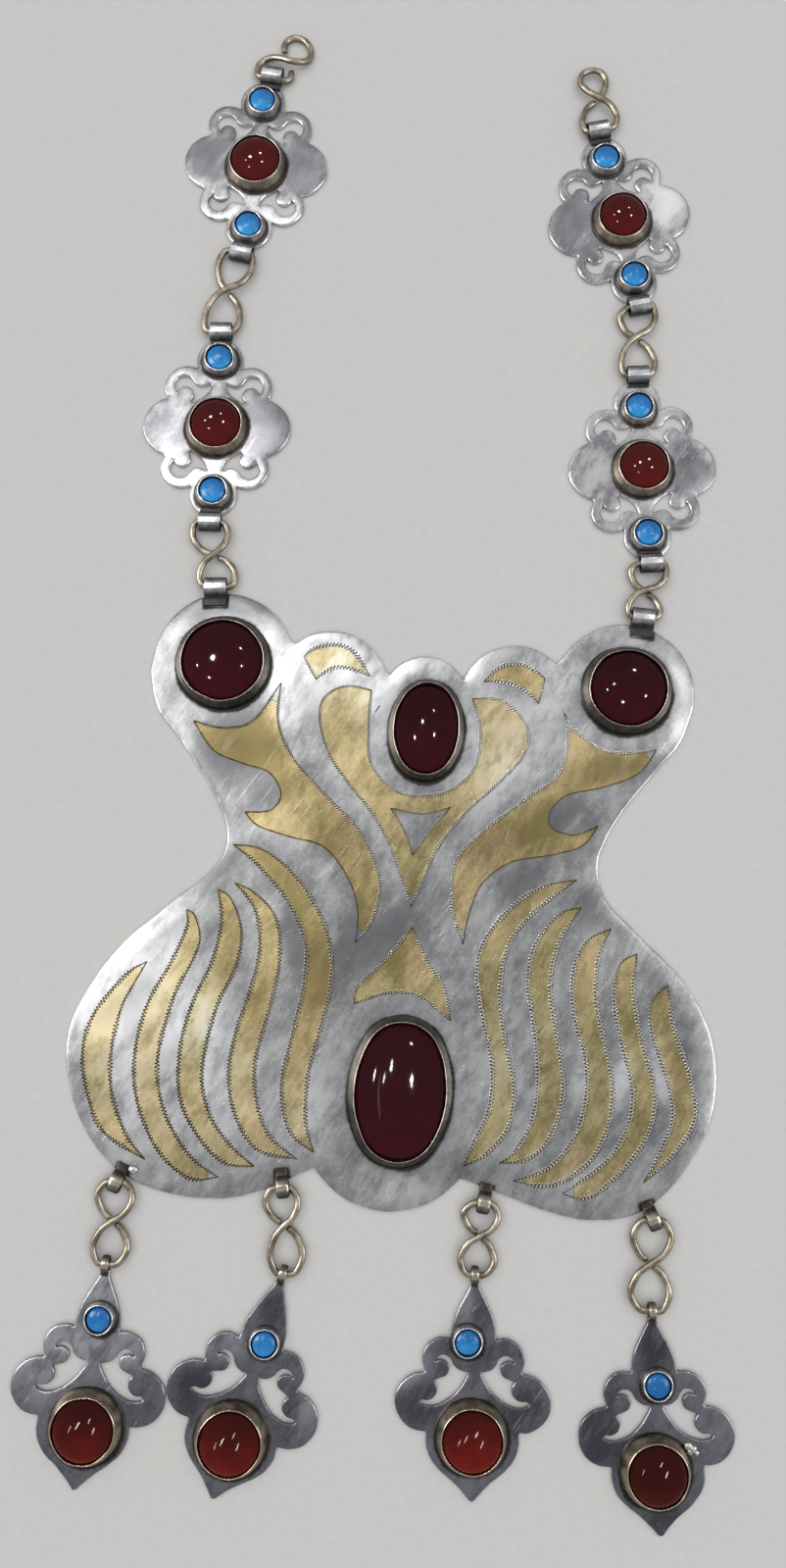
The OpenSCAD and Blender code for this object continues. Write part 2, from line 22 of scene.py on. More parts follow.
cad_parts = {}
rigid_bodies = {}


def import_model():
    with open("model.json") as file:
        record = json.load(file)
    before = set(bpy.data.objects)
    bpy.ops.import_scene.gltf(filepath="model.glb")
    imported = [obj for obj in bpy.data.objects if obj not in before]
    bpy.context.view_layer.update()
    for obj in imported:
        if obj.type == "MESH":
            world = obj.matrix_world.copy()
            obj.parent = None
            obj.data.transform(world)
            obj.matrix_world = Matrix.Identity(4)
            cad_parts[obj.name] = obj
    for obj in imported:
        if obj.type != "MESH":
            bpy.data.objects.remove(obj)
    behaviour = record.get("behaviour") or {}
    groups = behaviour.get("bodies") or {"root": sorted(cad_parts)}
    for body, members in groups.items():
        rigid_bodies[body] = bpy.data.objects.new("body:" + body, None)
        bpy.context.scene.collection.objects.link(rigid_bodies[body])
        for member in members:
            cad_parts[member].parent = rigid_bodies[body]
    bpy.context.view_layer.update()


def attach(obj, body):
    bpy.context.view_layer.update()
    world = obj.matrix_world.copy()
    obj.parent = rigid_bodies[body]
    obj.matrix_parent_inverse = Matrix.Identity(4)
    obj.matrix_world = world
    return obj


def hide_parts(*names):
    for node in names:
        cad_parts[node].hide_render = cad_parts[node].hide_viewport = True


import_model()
MM = 0.001
# Thickness of the sheet, of the bent strip, of a setting's rolled rim, and of the wire.
SHEET, STRIP, RIM, WIRE = 1.1, 0.45, 0.3, 1.3
WIRE_IN_BAIL = 1.5

# %% [markdown]
# The camera looks down on the necklace from a hand's height above the plate, a little from the side
# of the drops. The pixel distance of the lens turns into a focal length on the long side of the
# picture: length in pixels over 1599, times the sensor's 36 mm. The same helper places the lamps.

# %% Camera
LENS_PX, LONG_SIDE_PX, SENSOR_MM = 1350, 1599, 36
EYE = np.array([-1.84, -14.65, 260.0])
RIGHT = np.array([0.9974, 0.0715, 0.0])
UP = np.array([-0.0707, 0.9865, 0.1478])


def unit(rows):
    """Each row divided by its length."""
    return rows / np.maximum(np.linalg.norm(rows, axis=-1, keepdims=True), 1e-9)


def stand(thing, axes, at):
    """Puts an object into the scene with its X, Y and Z along the axes and its origin at a place."""
    bpy.context.collection.objects.link(thing)
    rows = [[*(axis[k] for axis in axes), at[k] * MM] for k in range(3)]
    thing.matrix_world = Matrix([*rows, [0, 0, 0, 1]])


camera_data = bpy.data.cameras.new("camera")
camera_data.sensor_width = SENSOR_MM
camera_data.lens = LENS_PX / LONG_SIDE_PX * SENSOR_MM
camera_data.clip_start = 0.01
camera = bpy.data.objects.new("camera", camera_data)
stand(camera, (RIGHT, UP, np.cross(RIGHT, UP)), EYE)
bpy.context.scene.camera = camera
print("lens:", round(camera_data.lens, 2), "mm")

# %% [markdown]
# Shader maths is easier to read as Python. The class below wraps the output of a shader node, and its
# operators add Math nodes, so that `1 - mask * 0.5` on a mask is written just like that. A second
# class holds a material and adds its other nodes.

# %% Shader values that can be added and multiplied
class Value:
    """One number output of a shader tree. Operators return new values made by Math nodes."""

    def __init__(self, finish, socket):
        self.finish = finish
        self.socket = socket

    def math(self, operation, *others):
        node = self.finish.node("ShaderNodeMath", {"operation": operation}, self, *others)
        return Value(self.finish, node.outputs[0])

    def __add__(self, other):
        return self.math("ADD", other)

    def __sub__(self, other):
        return self.math("SUBTRACT", other)

    def __rsub__(self, other):
        return self.math("MULTIPLY", -1.0) + other

    def __mul__(self, other):
        return self.math("MULTIPLY", other)

    __radd__ = __add__
    __rmul__ = __mul__

    def limited(self):
        """The value kept between 0 and 1."""
        return self.math("MAXIMUM", 0.0).math("MINIMUM", 1.0)

    def step(self, low, high):
        """0 below low, 1 above high, and a smooth S between: 3t^2 - 2t^3."""
        settings = {"interpolation_type": "SMOOTHSTEP"}
        node = self.finish.node("ShaderNodeMapRange", settings, self, float(low), float(high), 0.0, 1.0)
        return Value(self.finish, node.outputs[0])


class Finish:
    """A material, its shader tree and the few calls that fill it."""

    def __init__(self, name):
        self.material = bpy.data.materials.new(name)
        self.material.use_nodes = True
        self.tree = self.material.node_tree
        self.shader = self.tree.nodes["Principled BSDF"]

    def node(self, kind, settings=None, *inputs, **named):
        """A node of this kind: its settings first, then its inputs by place or by name."""
        node = self.tree.nodes.new(kind)
        for key, value in (settings or {}).items():
            setattr(node, key, value)
        for key, value in [*enumerate(inputs), *named.items()]:
            self.feed(node.inputs[key], value)
        return node

    def feed(self, socket, value):
        """Links a value or a socket, or sets a plain number or colour."""
        if isinstance(value, Value):
            value = value.socket
        if isinstance(value, bpy.types.NodeSocket):
            self.tree.links.new(value, socket)
        else:
            socket.default_value = value

    def noise(self, size, detail=3.0, length=1.0, turn=0.0, rough=0.5):
        """Cloudy noise around 0.5: spots size millimetres wide, and length times as long along a
        direction that is turned from the X axis."""
        coords = self.node("ShaderNodeTexCoord").outputs["Object"]
        mapped = self.node("ShaderNodeMapping", {"vector_type": "TEXTURE"}, Vector=coords,
                           Rotation=(0, 0, math.radians(turn)),
                           Scale=(size * length * MM, size * MM, size * MM))
        node = self.node("ShaderNodeTexNoise", None, Vector=mapped.outputs[0], Scale=1.0,
                         Detail=detail, Roughness=rough)
        return Value(self, node.outputs[0])

    def mark(self, name):
        """A number stored on the points of the mesh."""
        node = self.node("ShaderNodeAttribute", {"attribute_name": name})
        return Value(self, node.outputs["Fac"])

    def mix(self, factor, first, second):
        """A colour between two colours."""
        node = self.node("ShaderNodeMix", {"data_type": "RGBA"}, Factor=factor,
                         A=colour(first), B=colour(second))
        return node.outputs["Result"]

    def layered(self, base, *coats):
        """Coats laid over a base colour one after another, each with its mask and its colour."""
        for mask, coat in coats:
            base = self.mix(mask, base, coat)
        return base

    def bump(self, height, distance_mm):
        """Height in 0 to 1 turned into a normal, for a relief this many millimetres deep."""
        node = self.node("ShaderNodeBump", None, Strength=1.0, Distance=distance_mm * MM, Height=height)
        return node.outputs[0]

    def surface(self, **inputs):
        """Feeds the shader's own inputs, named with _ for a space, and gives back the material."""
        for name, value in inputs.items():
            name = name.replace("_", " ")
            self.feed(self.shader.inputs[name], colour(value) if name.endswith("Color") else value)
        return self.material


def colour(value):
    """A red-green-blue triple or a socket, as a colour input takes it."""
    return (*value, 1.0) if isinstance(value, tuple) else value


def scaled(triple, k, lift=0.0, cap=1.0):
    """A colour made darker or lighter: each part times k, plus lift, and at most cap."""
    return tuple(min(k * part + lift, cap) for part in triple)


# %% [markdown]
# The silver sheet is cloudy: old polish, fingerprints and thin tarnish change both its brightness and
# its gloss in patches of a few millimetres. Long fine scratches cross it in groups. Its cut edges are
# worn bright, with a painted highlight along them. Dark tarnish stays where no cloth reaches, at the
# feet of the settings, and a painted shadow widens it on their lower side. A stored mark, shine, paints
# highlight and shade in broad patches where the sheet would lean towards or away from a lamp. Each of
# these is a mask, from noise or from a distance that is stored on the mesh, and each mask lays one more
# coat of colour over the silver. A painted texture could do the same, but masks keep their scale anywhere.

# %% Sheet silver
def sheet_silver(name, light, dark, gloss=1.0, edge_wear_and_highlight=0.55, blend=0.15, mottled=0.14, gilded=False):
    """Silver between two greys. Marks: edge = mm from the cut edge, foot = mm from a setting, gilt =
    mm inside the gilt shapes, and shine = painted highlight where above 0 and painted shade below 0."""
    f = Finish(name)
    cloud = f.noise(19, 3, 1.7, 70, rough=0.55)
    patch = f.noise(5, 4, 1.6, 60, rough=0.55)
    smudge = f.noise(1.7, 6, 2.0, 65, rough=0.68)
    grain = f.noise(0.6, 4)
    brush = f.noise(0.4, 3, 26, 64, rough=0.6)
    smear = f.noise(3.5, 4, 4.0, 62, rough=0.6).step(0.58, 0.74)
    long_scratch = f.noise(0.2, 1, 70, 57).step(0.71, 0.77) * f.noise(5, 2).step(0.5, 0.62)
    cross_scratch = f.noise(0.18, 1, 60, -38).step(0.73, 0.79) * f.noise(8, 2).step(0.54, 0.66)
    short_scratch = f.noise(0.13, 1, 22, 38).step(0.71, 0.78) * f.noise(4, 2).step(0.5, 0.6)
    scratch = (long_scratch + cross_scratch * 0.7 + short_scratch * 0.6).limited()
    foot, shine = f.mark("foot"), f.mark("shine")
    # The edge coat is metal worn bright at the cut edge and a painted highlight along it.
    edge = (1 - f.mark("edge").step(0.06, 0.26)) * patch.step(0.3, 0.55)
    # The two foot coats are dark tarnish round the settings and a painted shadow, wider on the lower side.
    tarnish_and_shadow_halo = 1 - (foot + patch * 1.2).step(0.6, 2.0)
    tarnish_and_shadow_line = 1 - (foot + (grain - 0.5) * 0.3 + (patch - 0.5) * 1.2).step(0.12, 0.7)
    mottle = patch * 0.5 + smudge * 0.5
    dull = (1 - mottle.step(0.4, 0.54)) * mottled
    pale = mottle.step(0.5, 0.62) * (mottled * 0.5)
    # The shine mark paints highlight where above 0, in tone and in glare, and paints shade where below 0.
    glare = shine.limited() * (smudge * 0.6 + patch * 0.4).step(0.36, 0.56)
    tone = (cloud * 0.46 + patch * 0.28 + smudge * 0.22 + grain * 0.14 + brush * 0.08 + shine * 0.3
            - 0.09).step(0.49 - blend, 0.49 + blend)
    metal = f.layered(
        f.mix(tone, dark, light),
        (dull, scaled(dark, 0.6)),
        (pale, light),
        ((shine * -0.4).limited(), scaled(dark, 0.4)),
        (smear * 0.4, scaled(light, 1.35, cap=0.95)),
        (glare, scaled(light, 1.3, lift=0.16, cap=0.98)),
        ((scratch * 0.6 + grain.step(0.6, 0.8) * 0.1).limited(), (0.93, 0.93, 0.94)),
        (edge * edge_wear_and_highlight, scaled(light, 1.5, cap=0.95)),
        ((tarnish_and_shadow_halo * 0.3).limited(), (0.2, 0.185, 0.17)),
        ((tarnish_and_shadow_line * 0.92).limited(), (0.03, 0.026, 0.024)),
    )
    if gilded:
        depth = f.mark("gilt") + (grain - 0.5) * 0.3 + (patch - 0.5) * 0.2
        rubbed = (f.noise(2.2, 5, rough=0.7) + scratch * 0.4).step(0.7, 0.86)
        gilt = (depth.step(-0.3, -0.14) * (1 - rubbed * 0.4)).limited()
        dirt = depth.step(-0.46, -0.2) * (1 - depth.step(-0.02, 0.2))
        hue = f.noise(20, 2, 1.5, 70).step(0.3, 0.7)
        # Shade and sun are painted shaded and lit colours of the gold; shine and glare paint highlight and
        # shade on it too.
        gold_tone = (cloud * 0.4 + patch * 0.2 + smudge * 0.3 + grain * 0.2 + brush * 0.12 + shine * 0.24
                     - 0.11).step(0.34, 0.64)
        shade = f.mix(hue, (0.35, 0.28, 0.12), (0.42, 0.322, 0.145))
        sun = f.mix(hue, (0.75, 0.625, 0.33), (0.81, 0.635, 0.355))
        gold = f.layered(
            f.mix(gold_tone, shade, sun),
            ((shine * -0.3).limited(), (0.14, 0.11, 0.05)),
            (dull, (0.2, 0.15, 0.06)),
            ((scratch * 0.55 + smear * 0.2).limited(), (0.98, 0.88, 0.62)),
            (glare * 0.8, (1.0, 0.96, 0.78)),
        )
        metal = f.layered(metal, (gilt, gold), (dirt * 0.28, (0.07, 0.06, 0.045)))
    roughness = smudge * 0.2 + cloud * 0.1 + tarnish_and_shadow_line * 0.3 - edge * 0.08 - smear * 0.06 + 0.17 * gloss
    height = grain * 0.25 + patch * 0.3 + smudge * 0.2 + brush * 0.12 + scratch * 0.3
    return f.surface(Base_Color=metal, Metallic=1.0, Roughness=roughness, Normal=f.bump(height, 0.03 * gloss))


plate_silver = sheet_silver("plate_silver", (0.665, 0.66, 0.655), (0.294, 0.294, 0.303), gilded=True)
rosette_silver = sheet_silver("rosette_silver", (0.65, 0.64, 0.645), (0.322, 0.315, 0.335),
                              blend=0.1, mottled=0.42)
# The drops' silver takes darker greys than the plate's and the rosettes': painted shade, as the light falls
# off towards the drops.
drop_silver = sheet_silver("drop_silver", (0.3, 0.295, 0.325), (0.12, 0.116, 0.142), gloss=0.9, edge_wear_and_highlight=0.3)

# %% [markdown]
# The walls of the settings are thin strip, bent round each stone and burnished over its edge. Cloth
# polishes only the rim, so the wall goes from dark tarnish at its foot to a bright line on top. That
# change follows the wall, not the room, so the mesh stores how far up the wall each point lies. The
# strip of the bails is the same metal, polished on its bend, where the bright band is also a painted
# highlight; where the strip runs under the wire it is painted in shade.

# %% Setting walls, bails, solder and engraving
def strip_metal(name, wall, bright, rim_from, rough=0.36):
    """Strip silver: the mark rise runs from 0 at the foot to 1 on the rim."""
    f = Finish(name)
    rise = f.mark("rise")
    spots, fine = f.noise(1.6, 4, rough=0.65), f.noise(0.35, 3)
    rim = (rise + (spots - 0.5) * 0.1).step(rim_from, rim_from + 0.07)
    foot = 1 - (rise + (spots - 0.5) * 0.3).step(0.05, 0.45)
    metal = f.layered(
        f.mix(spots.step(0.35, 0.7), scaled(wall, 0.55), wall),
        (foot * 0.85, (0.04, 0.036, 0.032)),
        (rim * 0.92, bright),
    )
    return f.surface(Base_Color=metal, Metallic=1.0, Roughness=(spots * 0.2 - rim * 0.18 + rough).limited(),
                     Normal=f.bump(spots * 0.6 + fine * 0.4, 0.03))


plate_wall = strip_metal("plate_setting_wall", (0.17, 0.155, 0.13), (0.56, 0.51, 0.42), 0.92, 0.3)
rosette_wall = strip_metal("rosette_setting_wall", (0.36, 0.305, 0.24), (0.72, 0.64, 0.54), 0.9)
drop_wall = strip_metal("drop_setting_wall", (0.36, 0.3, 0.21), (0.72, 0.6, 0.44), 0.88, 0.24)
bead_wall = strip_metal("bead_setting_wall", (0.46, 0.44, 0.42), (0.85, 0.83, 0.8), 0.84)
bail_strip = strip_metal("bail_strip", (0.38, 0.38, 0.39), (0.82, 0.81, 0.81), 0.72)
loop_strip = strip_metal("loop_strip", (0.3, 0.26, 0.2), (0.62, 0.55, 0.42), 0.7)

f = Finish("solder")
cool = f.noise(0.8, 3)
solder = f.surface(Base_Color=f.mix(cool, (0.5, 0.48, 0.44), (0.9, 0.88, 0.84)), Metallic=1.0,
                   Roughness=cool * 0.3 + 0.15, Normal=f.bump(cool, 0.12))

# The cut of the graver has one steep wall and one flat one, painted dark as painted shade and bright as a
# painted highlight: the mark dark says which.
f = Finish("engraved_line")
cut = f.mark("dark")
engraved = f.surface(Base_Color=f.mix(cut, (0.98, 0.97, 0.92), (0.022, 0.019, 0.015)), Metallic=1.0,
                     Roughness=cut * 0.3 + 0.25)

# %% [markdown]
# The wire of the links is silver with a warm brown tarnish, painted darker down its sides and
# underneath as painted shade, so that the top of the wire stays light. Cabochons are plain polished
# stone: their colour lies deep, with faint clouds, and the gloss comes from a smooth surface and small
# lamps. Real light would scatter inside them; here a colour painted lighter towards each stone's lower
# end, away from the lamps, stands in for it as a painted glow and needs no slow shader. Each stone is
# also painted darker towards its foot, as painted shade from its setting. Turquoise is softer and
# waxier, with pits.

# %% Wire and stones
f = Finish("link_wire_finish")
spots, fine = f.noise(2.4, 5, rough=0.65), f.noise(0.4, 3)
# The last coat paints the wire's sides and underside dark: painted shade.
brown = f.layered(
    f.mix(spots.step(0.36, 0.66), (0.27, 0.22, 0.155), (0.55, 0.485, 0.385)),
    (fine.step(0.62, 0.75) * 0.4, (0.88, 0.82, 0.72)),
    ((1 - f.mark("rise").step(0.52, 0.98)) * 0.88, (0.08, 0.06, 0.042)),
)
link_wire = f.surface(Base_Color=brown, Metallic=1.0, Roughness=(spots * 0.3 + 0.22).limited(),
                      Normal=f.bump(spots * 0.5 + fine * 0.5, 0.035))


def polished_stone(name, deep, lit, cloud_mm, gloss, shine, pits=0.0):
    """Stone between a deep and a lit colour. The mark glow is 0 at its upper and 1 at its lower end,
    where the colour is painted lit as a painted glow of light that entered and comes out again."""
    f = Finish(name)
    cloud = f.noise(cloud_mm, 4, rough=0.55)
    tone = (cloud * 0.5 + f.mark("glow") * 0.5 - 0.1).step(0.15, 0.85)
    # Painted shade: the stone is painted darker towards its foot, where its setting shades it.
    low = 1 - f.mark("rise").step(0.05, 0.6)
    body = f.layered(f.mix(tone, deep, lit), (low * (0.7 if pits else 0.4), scaled(deep, 0.5)))
    height = cloud
    if pits:
        height = f.noise(0.5, 4, rough=0.7)
        body = f.layered(body, (height.step(0.58, 0.72) * pits, scaled(deep, 0.4)),
                         ((1 - height.step(0.3, 0.4)) * pits, scaled(lit, 1.5, lift=0.1, cap=0.9)))
    return f.surface(Base_Color=body, Metallic=0.0, Roughness=(cloud * 0.04 + gloss).limited(),
                     Specular_IOR_Level=shine, Normal=f.bump(height, 0.04 if pits else 0.008))


plate_stone = polished_stone("plate_stone", (0.03, 0.0022, 0.0055), (0.062, 0.0035, 0.008), 5, 0.035, 0.18)
rosette_stone = polished_stone("rosette_stone", (0.07, 0.006, 0.006), (0.165, 0.011, 0.01), 4, 0.03, 0.2)
drop_stone = polished_stone("drop_stone", (0.055, 0.004, 0.003), (0.22, 0.012, 0.006), 4, 0.03, 0.18)
turquoise = polished_stone("turquoise_finish", (0.01, 0.12, 0.36), (0.032, 0.35, 0.76), 1.8, 0.12, 0.5, 0.6)
print("materials:", len(bpy.data.materials))

# %% [markdown]
# Shapes are drawn as paths: arcs where the maker used a compass, and smooth curves through listed
# points elsewhere. Blender's own curves could hold them, but every later step measures distances
# to these lines, so each path is an array of points, one row each.

# %% Paths
def arc(centre, r, start, end, n=24):
    """Points at centre + r (cos a, sin a), with a from start to end in degrees."""
    a = np.radians(np.linspace(start, end, n + 1))
    return np.asarray(centre, float) + r * np.column_stack([np.cos(a), np.sin(a)])


def circle(centre, r, n=72):
    return arc(centre, r, 0, 360, n)[:-1]


def oval(half, n=24):
    """Four arcs: two ends of radius r and two sides that meet them without a corner."""
    w, h = half
    r = 0.86 * w
    side = (w * w + (h - r) ** 2 - r * r) / (2 * (w - r))
    a = math.degrees(math.atan2(h - r, side - w))
    right, top = arc((w - side, 0), side, -a, a, n)[:-1], arc((0, h - r), r, a, 180 - a, n)[:-1]
    return np.vstack([right, top, -right, -top])


def through(points, n=8):
    """A curve through the points: between b and c it is the cubic that leaves b along c - a and
    reaches c along d - b, with a and d the neighbours."""
    p = np.asarray(points, float)
    q = np.vstack([p[:1], p, p[-1:]])
    a, b, c, d = (x[:, None, :] for x in (q[:-3], q[1:-2], q[2:-1], q[3:]))
    t = np.linspace(0, 1, n, endpoint=False)[None, :, None]
    path = b + t * ((c - a) / 2 + t * ((2 * a - 5 * b + 4 * c - d) / 2 + t * (3 * b - a - 3 * c + d) / 2))
    return np.vstack([path.reshape(-1, p.shape[1]), p[-1:]])


def evenly(path, step, closed=True):
    """The path cut into equal lengths of about step."""
    p = np.vstack([path, path[:1]]) if closed else np.asarray(path, float)
    s = np.r_[0, np.cumsum(np.linalg.norm(np.diff(p, axis=0), axis=1))]
    keep = np.r_[True, np.diff(s) > 1e-9]
    p, s = p[keep], s[keep]
    n = max(int(round(s[-1] / step)), 4)
    t = np.linspace(0, s[-1], n if closed else n + 1, endpoint=not closed)
    return np.column_stack([np.interp(t, s, p[:, k]) for k in range(p.shape[1])])


def placed(points, at, turn=0.0):
    """Points turned about the origin and moved to a place, in plan."""
    a = math.radians(turn)
    p = np.array(points, float)
    x, y = p[:, 0].copy(), p[:, 1].copy()
    p[:, 0] = at[0] + x * math.cos(a) - y * math.sin(a)
    p[:, 1] = at[1] + x * math.sin(a) + y * math.cos(a)
    return p


def raised(plan, z):
    """Points of a plan lifted to one height, or each to its own."""
    return np.column_stack([plan, np.broadcast_to(z, len(plan))])


def area(loop):
    """Signed area: positive where the loop runs anticlockwise."""
    ahead = np.roll(loop, -1, 0)
    return 0.5 * (loop[:, 0] * ahead[:, 1] - ahead[:, 0] * loop[:, 1]).sum()


def sides(path, closed=True):
    """Unit normals to the right of a path, so outwards where it runs anticlockwise."""
    t = np.roll(path, -1, 0) - np.roll(path, 1, 0) if closed else np.gradient(path, axis=0)
    t = unit(t[:, :2])
    return np.column_stack([t[:, 1], -t[:, 0]])


def outward(loop, hole=False):
    """Unit normals that point away from the metal: out of an outline, or into a hole."""
    return sides(loop) * (1 if (area(loop) > 0) != hole else -1)


# %% [markdown]
# Some finishes need to know how far a point is from an edge. Two helpers work that out for many
# points at once: the distance to the nearest piece of a path, and whether a point lies inside a loop.
# The points go through in batches, so that the tables of distances stay small. Nothing that hands
# made is quite even, and a last helper gives each path and each sheet a slight waver.

# %% Distances
BATCH = 400


def nearest(points, loops):
    """Distance to the nearest edge a-b of the loops: the foot is a + t (b - a), with t kept in 0..1."""
    a = np.vstack(loops)
    ab = np.vstack([np.roll(loop, -1, 0) for loop in loops]) - a
    size = np.maximum((ab**2).sum(1), 1e-12)
    out = np.empty(len(points))
    for k in range(0, len(points), BATCH):
        ap = points[k : k + BATCH, None, :] - a[None]
        t = np.clip((ap * ab).sum(2) / size, 0, 1)
        out[k : k + BATCH] = np.sqrt(((ap - t[..., None] * ab) ** 2).sum(2).min(1))
    return out


def inside(points, loop):
    """True where a line to the right of the point crosses the loop an odd number of times."""
    a, b = loop, np.roll(loop, -1, 0)
    rise = b[:, 1] - a[:, 1]
    slope = (b[:, 0] - a[:, 0]) / np.where(np.abs(rise) < 1e-12, 1e-12, rise)
    out = np.empty(len(points), bool)
    for k in range(0, len(points), BATCH):
        x, y = points[k : k + BATCH, 0, None], points[k : k + BATCH, 1, None]
        crossed = ((a[:, 1] > y) != (b[:, 1] > y)) & (x < slope * (y - a[:, 1]) + a[:, 0])
        out[k : k + BATCH] = crossed.sum(1) % 2 == 1
    return out


def in_sheet(points, loops):
    """True inside the first loop, the outline, and outside the others, the holes."""
    keep = inside(points, loops[0])
    for hole in loops[1:]:
        keep &= ~inside(points, hole)
    return keep


def clear_of(points, loops, gap):
    """The points that lie further than gap from every loop."""
    return points[nearest(points, loops) > gap] if loops else points


def hand(values, seed, size, amount):
    """A gentle unevenness: a sum of five sines of random length around size, at most about amount."""
    rng = np.random.default_rng(seed)
    values = np.asarray(values, float)
    if values.ndim == 1:
        values = values[:, None]
    out = np.zeros(len(values))
    for _ in range(5):
        way = rng.normal(size=values.shape[1])
        way *= 2 * math.pi / (size * rng.uniform(0.6, 1.7)) / np.linalg.norm(way)
        out += np.sin(values @ way + rng.uniform(0, 6.3))
    return out * amount / 3


# %% [markdown]
# A piece is collected patch by patch. Each patch has its points, its faces, the material it wears and
# the marks that the material reads. At the end one mesh holds them all, and the piece stands for the
# solid of its name.

# %% Collecting a piece
MARKS = {"edge": 3.0, "foot": 6.0, "gilt": -3.0, "rise": 1.0, "dark": 0.0, "glow": 0.5, "shine": 0.0}
METAL_CREASE = 50


class Piece:
    """A mesh in the making. The metal ones have sharp creases, the stones and wires none."""

    def __init__(self, name, slot, stands_for=True):
        self.name, self.slot, self.stands_for = name, slot, stands_for
        self.points, self.faces, self.wear, self.materials = [], [], [], []
        self.marks = {name: [] for name in MARKS}
        self.count = 0

    def add(self, points, faces, material, **marks):
        """Adds a patch. A mark is one number for the patch or one for each point."""
        if material not in self.materials:
            self.materials.append(material)
        self.points.append(points)
        for group in faces:
            self.faces.append(np.asarray(group) + self.count)
            self.wear.append(np.full(len(group), self.materials.index(material)))
        for name, usual in MARKS.items():
            self.marks[name].append(np.broadcast_to(marks.get(name, usual), len(points)))
        self.count += len(points)

    def finish(self, crease=None):
        """Makes the mesh and its object. A mark that is the same all over is left out, except foot:
        a material reads a missing mark as 0, and a foot of 0 would be dark tarnish and painted shadow."""
        mesh = bpy.data.meshes.new(self.name)
        mesh.from_pydata(np.vstack(self.points) * MM, [],
                                                       [f for group in self.faces for f in group.tolist()])
        mesh.polygons.foreach_set("material_index", np.concatenate(self.wear).astype(np.int32))
        mesh.polygons.foreach_set("use_smooth", np.ones(len(mesh.polygons), bool))
        for name, parts in self.marks.items():
            values = np.concatenate(parts).astype(np.float32)
            if np.ptp(values) > 0 or name == "foot":
                mesh.attributes.new(name, "FLOAT", "POINT").data.foreach_set("value", values)
        for material in self.materials:
            mesh.materials.append(material)
        if crease:
            mesh.set_sharp_from_angle(angle=math.radians(crease))
        mesh.update()
        piece = bpy.data.objects.new(self.name + ("_dressed" if self.stands_for else ""), mesh)
        bpy.context.collection.objects.link(piece)
        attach(piece, "root")
        if self.stands_for:
            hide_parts(self.name)


def grid(rows, columns, wrap=True):
    """Four-sided faces of a grid of points that is stored row after row. With wrap, each row is a
    closed ring."""
    r = np.arange(rows - 1)[:, None]
    c = np.arange(columns if wrap else columns - 1)[None, :]
    ahead = (c + 1) % columns
    corners = [r * columns + c, r * columns + ahead, (r + 1) * columns + ahead, (r + 1) * columns + c]
    return np.stack(corners, -1).reshape(-1, 4)


def tube(rings, around):
    """The faces of a stack of rings, and the two flat faces that close its ends."""
    ring = np.arange(around)[None]
    return [grid(rings, around), ring[:, ::-1], ring + (rings - 1) * around]


# %% [markdown]
# Sheet metal is cut from a drawing, so its mesh is made the same way: the outline and the pierced
# holes become fixed edges, a few rows of points run just inside them for the worn, rounded edge, and
# a honeycomb of points fills the rest. A Delaunay triangulation joins them. Cutting holes out of a
# ready plate with Boolean would give long thin faces, and the marks need points near every edge. The
# top swells and dips by some hundredths of a millimetre, as hammered sheet does, and that is what
# breaks up reflections.

# %% Sheet
OUTLINE_STEP = 0.45
EDGE_ROWS = (0.07, 0.17, 0.34)
EDGE_ROUND, EDGE_DROP, EDGE_BEVEL = 0.28, 0.22, 0.12
DROOP, DROOP_WIDTH = 0.2, 3.4
PLATE_SWELL = 0.14
# The foot is measured from rings shifted this way, so the painted shadow is wider on the lower side.
FOOT_SHADOW_SHIFT = (0.1, -0.3)
FOOT_ROWS = (-0.3, 0.1, 0.4, 0.75, 1.2)
# The distance from which a mark says no more than "far away".
FAR = {"edge": 3, "foot": 6, "gilt": 3}


def sheet_top(points, edge, seed, swell):
    """Height of the sheet: flat, less a quarter-round and a wider droop at its edge, plus dents."""
    s = np.clip(1 - edge / EDGE_ROUND, 0, 1)
    dents = hand(points, seed, 26, swell) + hand(points, seed + 1, 7, swell * 0.2)
    droop = DROOP * (swell / PLATE_SWELL) * np.clip(1 - edge / DROOP_WIDTH, 0, 1) ** 2
    return SHEET - EDGE_DROP * (1 - np.sqrt(1 - s**2 * 0.98)) - droop + dents * np.clip(edge / 3, 0, 1)


def triangulated(points, lines, loops, way):
    """Delaunay triangles that keep the closed lines as edges and lie in the sheet. The lines' points
    come first. The faces look up for a way of 1 and down for -1."""
    ties, count = [], 0
    for line in lines:
        index = np.arange(len(line)) + count
        ties.append(np.column_stack([index, np.roll(index, -1)]))
        count += len(line)
    found = delaunay_2d_cdt(points.tolist(), np.vstack(ties).tolist(), [], 0, 1e-5)
    flat, faces = np.array([tuple(v) for v in found[0]]), np.array(found[2])
    faces = faces[in_sheet(flat[faces].mean(1), loops)]
    a, b, c = (flat[faces[:, k]] for k in range(3))
    turned = way * np.cross(b - a, c - a) < 0
    faces[turned] = faces[turned][:, ::-1]
    return flat, faces


